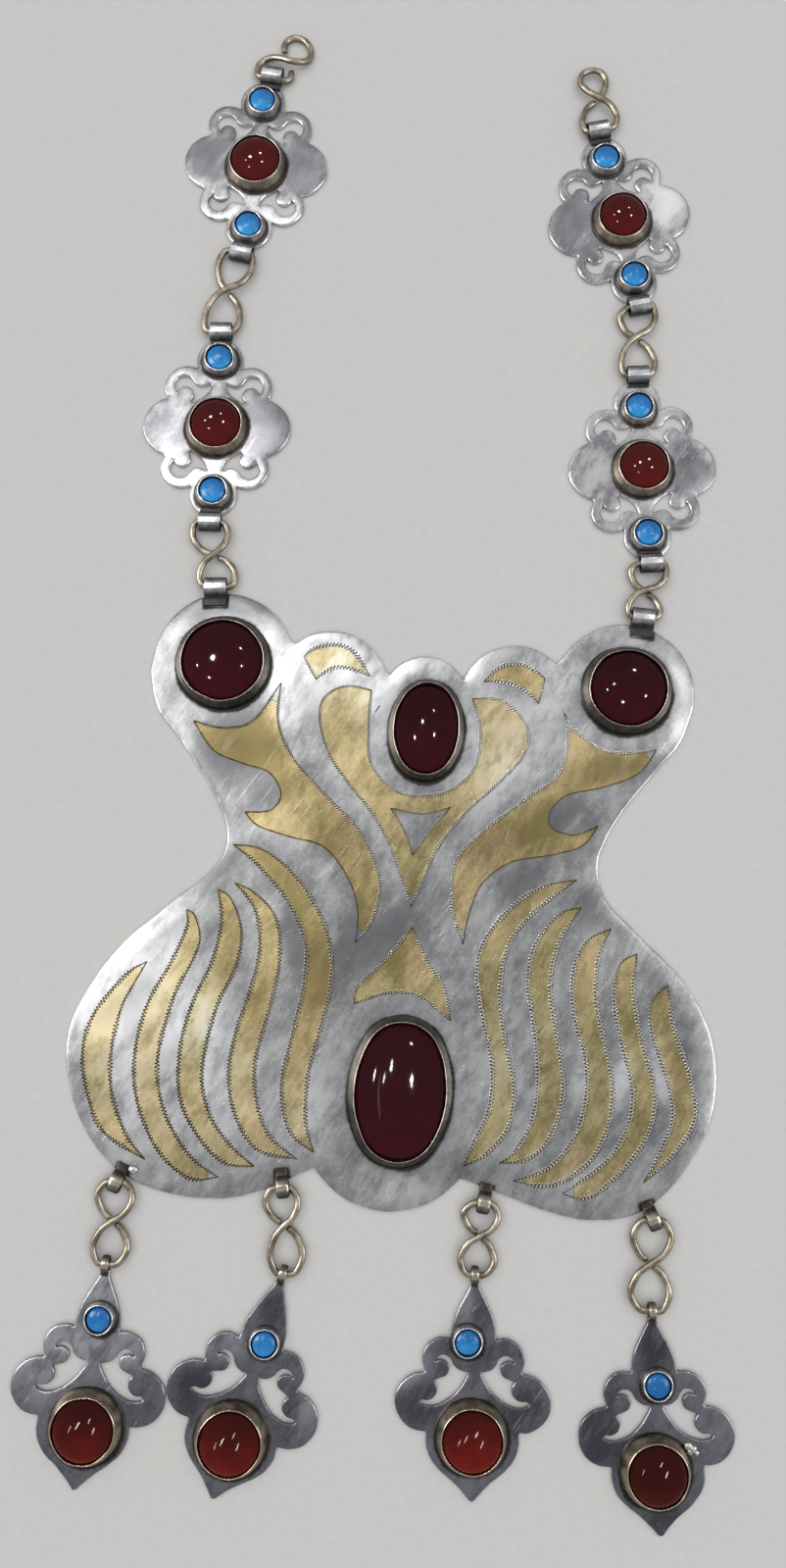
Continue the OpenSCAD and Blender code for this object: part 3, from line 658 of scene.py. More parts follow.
def cut_sheet(piece, outline, holes, material, seed, spacing, feet, dabs, swell, gilt=(), bare=()):
    """The sheet inside an outline and outside its holes, with its rounded edge, wall and back."""
    loops = [evenly(outline, OUTLINE_STEP)] + [evenly(hole, OUTLINE_STEP * 0.7) for hole in holes]
    loops = [loop + sides(loop) * (hand(loop, seed + 3, 5, 0.05) + hand(loop, seed + 4, 1.6, 0.025))[:, None]
             for loop in loops]
    away = [outward(loop, hole=k > 0) for k, loop in enumerate(loops)]
    gilt = [evenly(loop, 0.6) for loop in gilt]
    points = [*loops, *gilt]
    for loop, out in zip(loops, away):
        for far in EDGE_ROWS:
            points.append(clear_of(loop - out * far, loops, far * 0.93))
    low, high = loops[0].min(0), loops[0].max(0)
    x, y = np.meshgrid(np.arange(low[0], high[0], spacing), np.arange(low[1], high[1], spacing * 0.866))
    x = x + (np.arange(len(y))[:, None] % 2) * spacing / 2
    field = np.column_stack([x.ravel(), y.ravel()])
    field = clear_of(field[in_sheet(field, loops)], loops, EDGE_ROWS[-1] + spacing * 0.4)
    field = clear_of(clear_of(field, gilt, spacing * 0.35), feet, FOOT_ROWS[-1] + spacing * 0.3)
    around = np.vstack([evenly(foot + sides(foot) * far, 0.5) for foot in feet for far in FOOT_ROWS])
    around = clear_of(around[in_sheet(around, loops)], loops, EDGE_ROWS[-1] + 0.2)
    points += [clear_of(around, gilt, 0.25), field]
    flat, faces = triangulated(np.vstack(points), [*loops, *gilt], loops, 1)
    edge = nearest(flat, loops)
    marks = {
        "edge": np.minimum(edge, FAR["edge"]),
        "foot": np.minimum(nearest(flat, [foot + FOOT_SHADOW_SHIFT for foot in feet]), FAR["foot"]),
        "shine": np.zeros(len(flat)),
    }
    if gilt:
        covered = sum(inside(flat, loop).astype(int) for loop in gilt) % 2 == 1
        depth = np.where(covered, 1, -1) * nearest(flat, gilt)
        for x, y, r in bare:
            depth = np.minimum(depth, np.hypot(flat[:, 0] - x, flat[:, 1] - y) - r)
        marks["gilt"] = np.clip(depth, -FAR["gilt"], FAR["gilt"])
    # The dabs make the mark shine: painted highlight where above 0, painted shade where below 0.
    for x, y, length, width, turn, amount in dabs:
        u, v = placed(flat - [x, y], (0, 0), -turn).T
        marks["shine"] += amount * np.exp(-((u / length) ** 2) - (v / width) ** 2)
    piece.add(raised(flat, sheet_top(flat, edge, seed, swell)), [faces], material, **marks)
    brim = sheet_top(loops[0][:1], np.zeros(1), seed, swell)[0]
    for k, (loop, out) in enumerate(zip(loops, away)):
        profile = [(0.0, brim), (0.0, 0.14), (-EDGE_BEVEL, 0.0)]
        wall = np.vstack([raised(loop + out * inset, z) for inset, z in profile])
        quads = grid(len(profile), len(loop))
        # An edge mark of 0.12 gives the wall most of the bright edge coat: wear and painted highlight.
        piece.add(wall, [quads[:, ::-1] if (area(loop) > 0) == (k == 0) else quads], material, edge=0.12)
    back = [loop - out * EDGE_BEVEL for loop, out in zip(loops, away)]
    flat, faces = triangulated(np.vstack(back), back, back, -1)
    piece.add(raised(flat, 0.0), [faces], material, edge=3.0)


# %% [markdown]
# A setting is a strip carried round its stone. Its cross-section leans in from the foot and turns
# over at the rim. The strip was bent by hand, so its lean and height waver a little along the way.
# A stone is a stack of rings over the same kind of loop, so ovals and circles share one recipe.

# %% Settings and stones
STONE_FOOT = SHEET + 0.05


def setting(piece, loop, lean, height, material, seed, waver=0.06):
    """A profile carried round an anticlockwise loop: solder fillet, wall, rim, and back inside. Its
    rows are how far in, how high, and the mark rise."""
    loop = evenly(loop, 0.3)
    ring = circle((0, 0), len(loop) * 0.3 / 6.28, len(loop))
    bend, lift = hand(ring, seed, 7, waver), hand(ring, seed + 9, 6, waver * 0.8)
    profile = [
        (-0.22, 0.0, 0.0), (-0.06, 0.1, 0.05), (0.0, 0.3, 0.12), (lean * 0.3, height * 0.45, 0.4),
        (lean * 0.72, height * 0.8, 0.7), (lean - 0.02, height - 0.12, 0.82),
        (lean + 0.07, height - 0.01, 0.97), (lean + 0.14, height + 0.02, 1.0),
        (lean + 0.22, height - 0.01, 0.97), (lean + 0.28, height - 0.14, 0.7),
        (lean + RIM, height - 0.7, 0.3),
    ]
    rings = []
    for inset, z, _ in profile:
        share = min(z / height, 1)
        plan = loop - sides(loop) * (inset + bend * share)[:, None]
        rings.append(raised(plan, SHEET - 0.03 + z + lift * share))
    rise = np.repeat([row[2] for row in profile], len(loop))
    piece.add(np.vstack(rings), [grid(len(profile), len(loop))], material, rise=rise)


def cabochon(piece, loop, centre, drum, dome, material, rows=14, lit=0.0):
    """A stone over an anticlockwise loop: a low drum, then rings drawn in by cos a, raised by sin a."""
    loop = evenly(loop, 0.35)
    centre = np.asarray(centre, float)
    a = np.linspace(0, math.pi / 2, rows)[:-1]
    shrink = np.r_[0.97, 1.0, np.cos(a) ** 0.92]
    heights = np.r_[0.0, 0.12, drum + dome * np.sin(a)]
    rings = [raised(centre + (loop - centre) * s, STONE_FOOT + z) for s, z in zip(shrink, heights)]
    points = np.vstack([*rings, [[*centre, STONE_FOOT + drum + dome], [*centre, STONE_FOOT]]])
    n, m = len(loop), len(rings)
    i = np.arange(n)
    ahead = (i + 1) % n
    crown = np.column_stack([(m - 1) * n + i, (m - 1) * n + ahead, np.full(n, m * n)])
    under = np.column_stack([ahead, i, np.full(n, m * n + 1)])
    glow = 0.5 - 0.5 * (points[:, 1] - centre[1]) / (loop[:, 1].max() - centre[1])
    rise = np.clip((points[:, 2] - STONE_FOOT - drum) / dome, 0, 1)
    piece.add(points, [grid(m, n), crown, under], material, glow=glow + lit, rise=rise)


def stone(name, slot, *shape, **more):
    """A cabochon as a piece of its own."""
    piece = Piece(name, slot)
    cabochon(piece, *shape, **more)
    piece.finish()


# %% [markdown]
# A bail is one strip bent over the wire: it lies on the sheet, rises, goes round the wire and comes
# back under it. The strip's cross-section is a rectangle with small bevels, carried along that bend.
# The bend is drawn from the side, because that is how the strip was bent.

# %% Bails
def bail(piece, at, turn, width, slide, foot, material, seed, soft=0.09):
    """A bevelled rectangle carried along a bend that is drawn from its side, as (outwards, height).
    The upper corners are rounded off by soft."""
    mid = WIRE_IN_BAIL - STRIP / 2
    lift = through([
        (-slide - foot, 1.28), (-slide - foot * 0.6, 1.36), (-slide - 1.25, 1.85), (-slide - 0.7, 2.5),
        (-slide, WIRE_IN_BAIL + mid),
    ], 5)
    over = arc((slide, WIRE_IN_BAIL), mid, 90, -90, 14)
    under = arc((-slide, WIRE_IN_BAIL), mid, -90, -165, 6)
    path = evenly(np.vstack([lift, over, under]), 0.16, closed=False)
    t = unit(np.gradient(path, axis=0))
    up = np.column_stack([-t[:, 1], t[:, 0]])
    h, bevel = STRIP / 2, 0.09
    half = width / 2 + hand(path[:, :1], seed, 3, 0.07)
    flank = [(0, bevel - h), (0, h - 0.45 * soft), (-0.35 * soft, h - 0.12 * soft), (-soft, h)]
    section = [(-1, -bevel, -h), (1, -bevel, -h)]
    section += [(1, *row) for row in flank] + [(-1, *row) for row in flank[::-1]]
    strands = [np.column_stack([side * (half + inset), path + up * off]) for side, inset, off in section]
    points = np.stack(strands, 1).reshape(-1, 3)
    # rise paints the top of the bend bright, as polish and painted highlight, and the foot and the part under
    # the wire dark, as tarnish and painted shade.
    bend = np.exp(-(((path[:, 0] + slide * 0.2) / 0.75) ** 2)) * (path[:, 1] > 1.9)
    rise = np.clip(0.25 * np.clip((path[:, 1] - 1.35) / 1.2, 0, 1) + 0.85 * bend, 0, 1)
    faces = [group[:, ::-1] for group in tube(len(path), len(section))]
    piece.add(placed(points, at, turn), faces, material, rise=np.repeat(rise, len(section)))


# %% [markdown]
# The links are figure eights of round wire. The wire's two ends don't pass under the crossing: they
# stop on either side of it, against the strand that runs over. A bevelled curve would give the same
# round wire, but with ends cut square. Here a ring is carried along the path, swelling and thinning a
# little, and it closes to a rounded tip at each end.

# %% Wire
WIRE_STEP = 0.3
WIRE_LOW, WIRE_HIGH = 0.75, 2.12


def wire(piece, path, material, seed, around=16):
    """Rings at right angles to the path, drawn in at both ends to round them."""
    r = WIRE / 2
    path = evenly(path, WIRE_STEP, closed=False)
    n = len(path)
    count = np.arange(n)
    tip = np.clip(1 - np.minimum(count, count[::-1]) * WIRE_STEP / (r * 0.8), 0, 1)
    size = r * np.sqrt(np.clip(1 - tip**2, 0.02, 1)) * (1 + hand(count * WIRE_STEP, seed, 5, 0.035))
    t = unit(np.gradient(path, axis=0))
    across = unit(np.cross([0, 0, 1], t))
    up = np.cross(t, across)
    a = np.linspace(0, 2 * math.pi, around, endpoint=False)
    ring = across[:, None] * np.cos(a)[None, :, None] + up[:, None] * np.sin(a)[None, :, None]
    points = (path[:, None] + ring * size[:, None, None]).reshape(-1, 3)
    # rise is highest on top of the wire; the finish paints the sides and underside darker as painted shade.
    rise = np.clip(0.65 + 0.5 * np.tile(np.sin(a), n), 0, 1)
    piece.add(points, tube(n, around), material, rise=rise)


def eye_rows(shoulder, last=(0.66, 0.24), first=(1, 0.96, 1, 0.62)):
    """Rows of an eye: share of its half width, of its length, of the climb, and how far it follows
    the crossing."""
    top, high, wide, low = first
    return np.array([[0, top, 0, 0], [shoulder, high, 0, 0], [wide, low, 0.3, 0], [*last, 0.75, 1]])


WIDE, NARROW = eye_rows(0.78), eye_rows(0.62)
FREE = eye_rows(0.72, (0.6, 0.25), (1.02, 0.9, 0.98, 0.6))


def eye_side(side_x, cross_x, length, cross_z, tilt, rows):
    """One side of an eye, from its end to the crossing. The first two points turn with the bail.
    Height goes from the bail's to the crossing's."""
    share, far, climb, follow = rows.T
    x = share * side_x + follow * (1 - share) * cross_x
    points = np.column_stack([x, far * length, WIRE_IN_BAIL + climb * (cross_z - WIRE_IN_BAIL)])
    points[:2] = placed(points[:2] - [0, length, 0], (0, length), tilt)
    return points


def figure_eight(upper, lower, cross, upper_x, lower_x, way=1):
    """The open path of a link: from beside the crossing round one eye, over, and round the other.
    An end is its place, the turn of what holds it, and the rows of its eye. The crossing is its
    place across and its share of the length. An eye has its left and its right half width."""
    (top, top_turn, top_rows), (start, low_turn, low_rows) = upper, lower
    d = np.subtract(top, start)
    length = np.linalg.norm(d)
    below = length * cross[1]
    turn = math.degrees(math.atan2(-d[0], d[1]))
    over_up, under_up = (eye_side(x, cross[0], length - below, z, top_turn - turn, top_rows)
                         for x, z in zip(upper_x[::-way], (WIRE_HIGH, WIRE_LOW)))
    over_down, under_down = (eye_side(x, cross[0], -below, z, low_turn - turn, low_rows)
                             for x, z in zip(lower_x[::way], (WIRE_HIGH, WIRE_LOW)))
    stop_up, stop_down = (row[3] * [0.16, 0.16, 1] + [cross[0] * 0.84, 0, 0]
                          for row in (under_up, under_down))
    points = np.vstack([stop_up, under_up[3:0:-1], over_up, [[cross[0], 0, WIRE_HIGH]], over_down[::-1],
                        under_down[1:], stop_down])
    return placed(through(points), start + below * d / length, turn)


# %% [markdown]
# The rosettes hang in the chains. Each is cut from sheet with rounded lobes and four hooked cut-outs,
# and carries a carnelian between two turquoises. They differ a little in place, turn and stones, so
# a table holds one row for each. One quarter of the outline is drawn and mirrored, as a maker folds a
# paper pattern.

# %% Rosettes
ROSETTES = {
    # name: centre, turn, turquoise heights, carnelian place, setting radius, bails (x, tilt, nearer)
    "left_top": ((-43.2, 154.7), -1, (14.1, -14.6), (0, 0), 6.4, ((1.4, -5, 0), (-0.85, -8, 0))),
    "left_low": ((-46.2, 95.6), 2.4, (14.5, -14.2), (0, 0), 6.4, ((0, 0, 0), (-0.3, 0, 0))),
    "right_top": ((34.5, 147.6), 15.3, (13.7, -13.5), (0.4, -0.2), 6.1, ((0, 0, 0), (-0.3, 0, 0.6))),
    "right_low": ((41.8, 92.8), 6.6, (13, -14.1), (0, 0), 6.2, ((0.4, 0, 0.5), (0.2, 0, 0.4))),
}
BAIL_Y, BAIL_W, BAIL_SLIDE, BAIL_FOOT = 20.6, 4.4, 0.5, 2.4
# Settings and stones: radius, inward lean and height of a wall, then the stone's drum and dome.
ROSETTE_LEAN, ROSETTE_HEIGHT, ROSETTE_DRUM, ROSETTE_DOME = 0.9, 2.3, 1.4, 2.05
BEAD_R, BEAD_LEAN, BEAD_HEIGHT, BEAD_DRUM = 3.7, 0.6, 1.8, 1.0
# Between the honeycomb points of a rosette's or a drop's sheet. The plate is coarser.
FINE_SPACING, PLATE_SPACING = 0.8, 1.0
# Painted highlight and painted shade: x, y, half length, half width, turn, amount.
ROSETTE_DABS = {
    "left_top": [(0, -13, 9, 4, 0, 2.2), (-10, 1, 5, 5, 30, -0.9), (0, 11, 9, 4, 0, -0.7),
                 (10, 0, 5, 6, 0, -0.6)],
    "left_low": [(-10, 0, 5, 6, 0, -0.3), (0, -12, 9, 4, 0, 0.6), (11, 2, 5, 6, 0, -1.2),
                 (0, 12, 9, 4, 0, -0.4)],
    "right_top": [(-10, -1, 5, 6, 0, -0.7), (10, 1, 4, 6, 0, 0.35), (0, 11, 8, 4, 0, -0.5),
                  (0, -12, 8, 4, 0, -0.2)],
    "right_low": [(11, 0, 5, 6, 0, -0.5), (-10, 0, 5, 5, 0, 0.1), (13, 3, 1.4, 4, 30, 0.9),
                  (0, -12, 8, 4, 0, -0.3)],
}
quarter = np.vstack([arc((0, 14.4), 4.8, 70, -18), arc((6.7, 8.8), 4.4, 118, -34), arc((8.9, 0), 6.3, 74, 0)])
half_outline = np.vstack([quarter, quarter[-2::-1] * [1, -1]])
rosette_outline = np.vstack([half_outline, half_outline[::-1] * [-1, 1]])
rosette_cut = np.vstack([
    [[1.5, 9.3]], arc((3.4, 10.8), 2, 226, 322, 8), arc((7.1, 9), 2.1, 162, -50, 16),
    arc((6.75, 7), 1.7, 8, 212, 16), [[5.6, 5.5]], arc((0, 0), 7.2, 47, 65, 6), [[2, 7.7], [1.6, 8.6]],
])
# Of each stone: its middle, half size, foot, dome and rim, and the strength and shape of its lamps.
domes = {}


def bail_place(rosette, side):
    """Where the wire runs in a rosette's bail, how the bail is turned, and how much nearer it is."""
    centre, turn, *_, bails = rosette
    x, tilt, nearer = bails[0 if side > 0 else 1]
    return placed([(x, side * (BAIL_Y - nearer))], centre, turn)[0], turn + tilt, nearer


def turned_dabs(dabs, put, turn):
    """The places of painted highlight and painted shade of a pattern, carried along with the piece."""
    return [(*put([dab[:2]])[0], *dab[2:4], dab[4] + turn, dab[5]) for dab in dabs]


for k, (name, rosette) in enumerate(ROSETTES.items()):
    centre, turn, beads, stone_at, stone_r, _ = rosette
    put = partial(placed, at=centre, turn=turn)
    piece = Piece(f"rosette_{name}", "silver")
    holes = [put(rosette_cut * [sx, sy]) for sx in (1, -1) for sy in (1, -1)]
    ring = put(circle(stone_at, stone_r))
    bead_rings = [put(circle((0, y), BEAD_R)) for y in beads]
    cut_sheet(piece, put(rosette_outline), holes, rosette_silver, 10 + k, FINE_SPACING,
              feet=[ring, *bead_rings], dabs=turned_dabs(ROSETTE_DABS[name], put, turn), swell=0.07)
    setting(piece, ring, ROSETTE_LEAN, ROSETTE_HEIGHT, rosette_wall, 20 + k)
    for bead_ring in bead_rings:
        setting(piece, bead_ring, BEAD_LEAN, BEAD_HEIGHT, bead_wall, 30 + k)
    for side in (1, -1):
        at, bail_turn, nearer = bail_place(rosette, side)
        bail(piece, at, bail_turn if side > 0 else bail_turn + 180, BAIL_W, BAIL_SLIDE, BAIL_FOOT - nearer,
             bail_strip, 40 + k)
    piece.finish(METAL_CREASE)
    place, r = put([stone_at])[0], stone_r - ROSETTE_LEAN - RIM
    stone(f"carnelian_{name}", "carnelian", circle(place, r - 0.03), place, ROSETTE_DRUM, ROSETTE_DOME,
          rosette_stone)
    domes[f"carnelian_{name}"] = dict(centre=place, half=(r, r), base=STONE_FOOT + ROSETTE_DRUM,
                                      dome=ROSETTE_DOME, rim=SHEET + ROSETTE_HEIGHT, power=1.1, radius=7)
    for y, where in zip(beads, ("upper", "lower")):
        place, r = put([(0, y)])[0], BEAD_R - BEAD_LEAN - STRIP - 0.02
        stone(f"turquoise_{name}_{where}", "turquoise", circle(place, r), place, BEAD_DRUM, 1.3, turquoise)

# %% [markdown]
# The drops are cut like the rosettes, with a flame above, two wings and a point below. Their round
# carnelians sit in the tallest settings of the necklace. The four differ by hand, mostly in the length
# of the neck and the places of the stones.

# %% Drops
DROPS = {
    # number: top, turn, neck added, turquoise place, carnelian place, carnelian radius
    1: ((-51.85, -72.1), -2.75, 0.2, (0.3, -8.3), (0.6, -27.4), 5.85),
    2: ((-18.9, -71.4), -13.4, 1.6, (0.6, -11.3), (0, -29.2), 5.85),
    3: ((17.4, -69.1), 2.7, 0, (-1.2, -10.4), (-0.15, -27.2), 5.7),
    4: ((50.8, -73.2), 5, -0.6, (0.4, -11.5), (-0.6, -26.6), 5.6),
}
DROP_LEAN, DROP_HEIGHT, DROP_DRUM, DROP_DOME = 0.9, 3.4, 2.6, 2.2
SEED_R, SEED_LEAN = 3.05, 0.3
DROP_RING_Y = 1.5
DROP_DABS = {
    1: [(-10, -20, 5, 4, 0, 0.8), (-3, -14, 8, 3, 0, 1.6), (0, -4, 3, 5, 0, 1.5), (6, -13, 3, 3, 0, 0.7)],
    2: [(-10, -22, 5, 4, 0, -0.5), (0, -5, 3, 5, 0, -0.4), (-6, -14, 4, 2, 30, 0.7),
        (12, -18, 2, 5, 0, 0.7)],
    3: [(-10, -22, 5, 4, 0, -0.6), (9, -23, 5, 4, 0, -0.6), (-2, -4, 1.5, 5, 0, 0.7),
        (-12, -17, 2, 4, -40, 0.7)],
    4: [(-9, -22, 5, 5, 0, -0.7), (0, -5, 3, 6, 0, -0.8), (11, -20, 4, 4, 0, 0.2), (0, -34, 4, 4, 0, -0.4)],
}
# Per drop, an offset to the painted glow of its carnelian; below 0 it also darkens the drop's turquoise as
# painted shade.
DROP_GLOW = {1: -0.1, 2: 0.1, 3: 0.3, 4: -0.4}
# Lumps of solder from an old repair on the last drop: x, y, radius.
REPAIR = [(5.6, -22.4, 0.8), (6.5, -22.9, 0.75), (7.1, -23.6, 0.5), (5.9, -23.4, 0.6)]
drop_cut = np.vstack([
    [[1.2, -15.9], [1.9, -15.95], [2.7, -15.75], [3.4, -15.35], [3.9, -14.8]],
    arc((5.85, -14.85), 1.8, 172, 22, 14),
    arc((6.3, -15.45), 1.55, 50, 252, 14), arc((8.85, -19.1), 1.95, 128, 290, 14), [[10.3, -21.3]],
    through([[9.9, -21.8], [8, -22.1], [5.6, -21.3], [3.4, -19.6], [1.9, -17.6], [1.2, -16.3]], 5),
])
flame = through([[0.75, 0.4], [0.9, -0.8], [1.6, -2.2], [2.6, -4.2], [3.5, -6.2], [4, -8], [4.15, -9.8]], 4)
drop_lower = np.vstack([
    arc((5.7, -13.75), 3.8, 112, -32), arc((9.3, -21.35), 5.15, 92, -97),
    through([[8.5, -26.9], [8.5, -29], [7.6, -31.4], [5.8, -33.4], [3.6, -35.1], [1.7, -36.9],
             [0.3, -38.5]], 5),
])

for k, (top, turn, neck, bead_at, stone_at, stone_r) in DROPS.items():
    put = partial(placed, at=top, turn=turn)
    piece = Piece(f"drop_{k}", "silver")
    longer = np.column_stack([np.ones(len(flame)), np.where(flame[:, 1] < 0, 1 + neck / 10, 1)])
    half = np.vstack([flame * longer, drop_lower - [0, neck]])
    outline = put(np.vstack([half, half[::-1] * [-1, 1]]))
    holes = [put(drop_cut * [side, 1] + [0.25, -neck]) for side in (1, -1)]
    ring = put(circle(stone_at, stone_r + 0.12 + STRIP + DROP_LEAN / 2))
    bead_ring = put(circle(bead_at, SEED_R))
    cut_sheet(piece, outline, holes, drop_silver, 50 + k, FINE_SPACING,
              feet=[ring, bead_ring], dabs=turned_dabs(DROP_DABS[k], put, turn), swell=0.06)
    setting(piece, ring, DROP_LEAN, DROP_HEIGHT, drop_wall, 60 + k)
    setting(piece, bead_ring, SEED_LEAN, BEAD_HEIGHT, bead_wall, 70 + k)
    bail(piece, put([(0, DROP_RING_Y)])[0], turn, 1.4, 0.15, 2.1, loop_strip, 80 + k, soft=0.4)
    for x, y, r in REPAIR if k == 4 else ():
        place = put([(x, y)])[0]
        cabochon(piece, circle(place, r, 24), place, 0.1, r * 0.7, solder, rows=8)
    piece.finish(METAL_CREASE)
    place, r = put([stone_at])[0], stone_r - DROP_LEAN / 2 + STRIP - RIM
    stone(f"carnelian_drop_{k}", "carnelian", circle(place, r + 0.09), place, DROP_DRUM, DROP_DOME,
          drop_stone, lit=DROP_GLOW[k])
    domes[f"carnelian_drop_{k}"] = dict(centre=place, half=(r, r), base=STONE_FOOT + DROP_DRUM,
                                        dome=DROP_DOME, rim=SHEET + DROP_HEIGHT, power=0.22, tall=95, tilt=22)
    place, r = put([bead_at])[0], SEED_R - SEED_LEAN - STRIP - 0.02
    # A drop with a glow below 0 gets its turquoise painted darker, as painted shade.
    stone(f"turquoise_drop_{k}", "turquoise", circle(place, r), place, BEAD_DRUM, 1.1, turquoise,
          lit=min(2 * DROP_GLOW[k], 0))

# %% [markdown]
# The plate is the largest sheet. Its upper edge has four round lobes and a smaller one in the middle,
# its sides swing in to a waist and out to two wide lobes, and a round foot closes it below. The lobes
# are arcs. The two sides differ, so each has its own row of points.

# %% Plate outline
right_side = through([
    [13.4, -50.5], [20, -52.3], [29, -55.1], [38, -56.4], [47.5, -54.4], [55.5, -46.8], [60.8, -35],
    [60.4, -22], [54.5, -10.9], [46, -3], [38.6, 4.2], [36.7, 12], [40.6, 21], [47.2, 30.2], [51.9, 36.5],
    [54.1, 43.5],
], 6)
left_side = through([
    [-14.3, -50.5], [-21, -54], [-29, -57], [-38.5, -57.5], [-48.5, -55.2], [-56.5, -49.2], [-62, -39.5],
    [-63.6, -29], [-60.5, -20], [-54.5, -10.6], [-46, -2.2], [-38.3, 5.2], [-36.3, 11.2], [-39.2, 18.7],
    [-46.9, 29.2], [-52.6, 36], [-54.7, 43.5],
], 6)
plate_outline = np.vstack([
    arc((-0.4, -40.6), 17, -143, -37), right_side, arc((40.3, 45.8), 14, 8, 150), [[26.3, 50.5]],
    arc((18.6, 42.5), 11.3, 48, 158), arc((0.5, 41.7), 8.6, 30, 150), arc((-18.4, 42.9), 11.3, 21, 130),
    [[-26.2, 51.2]], arc((-40.2, 46.4), 14, 24, 172), left_side[::-1],
])

# %% [markdown]
# The ornament is fire-gilt: gold is fused on in shapes with an engraved outline. Each shape below is
# a closed run of edges that meet at its tips. An edge has the width of its zigzag line and the points
# that its curve passes. Ten curved leaves fan out below, and two horns and a forked collar lie above.
# Gilding has no thickness to speak of, so the gold is a mask in the sheet's own finish.

# %% Gilt shapes
LEAF, HORN, PLAIN = 0.56, 0.36, 0.05


def leaf(top, left, bottom, right):
    """A leaf: down its left edge to the lower tip and up its right edge. Near the upper tip the
    zigzag runs out into a plain line, over a length that depends on the side of the bend."""
    near, far = (4, 14) if top[0] < 0 else (11, 6)
    return [(LEAF, [top, *left, bottom], near, 5), (LEAF, [bottom, *right, top], 5, far)]


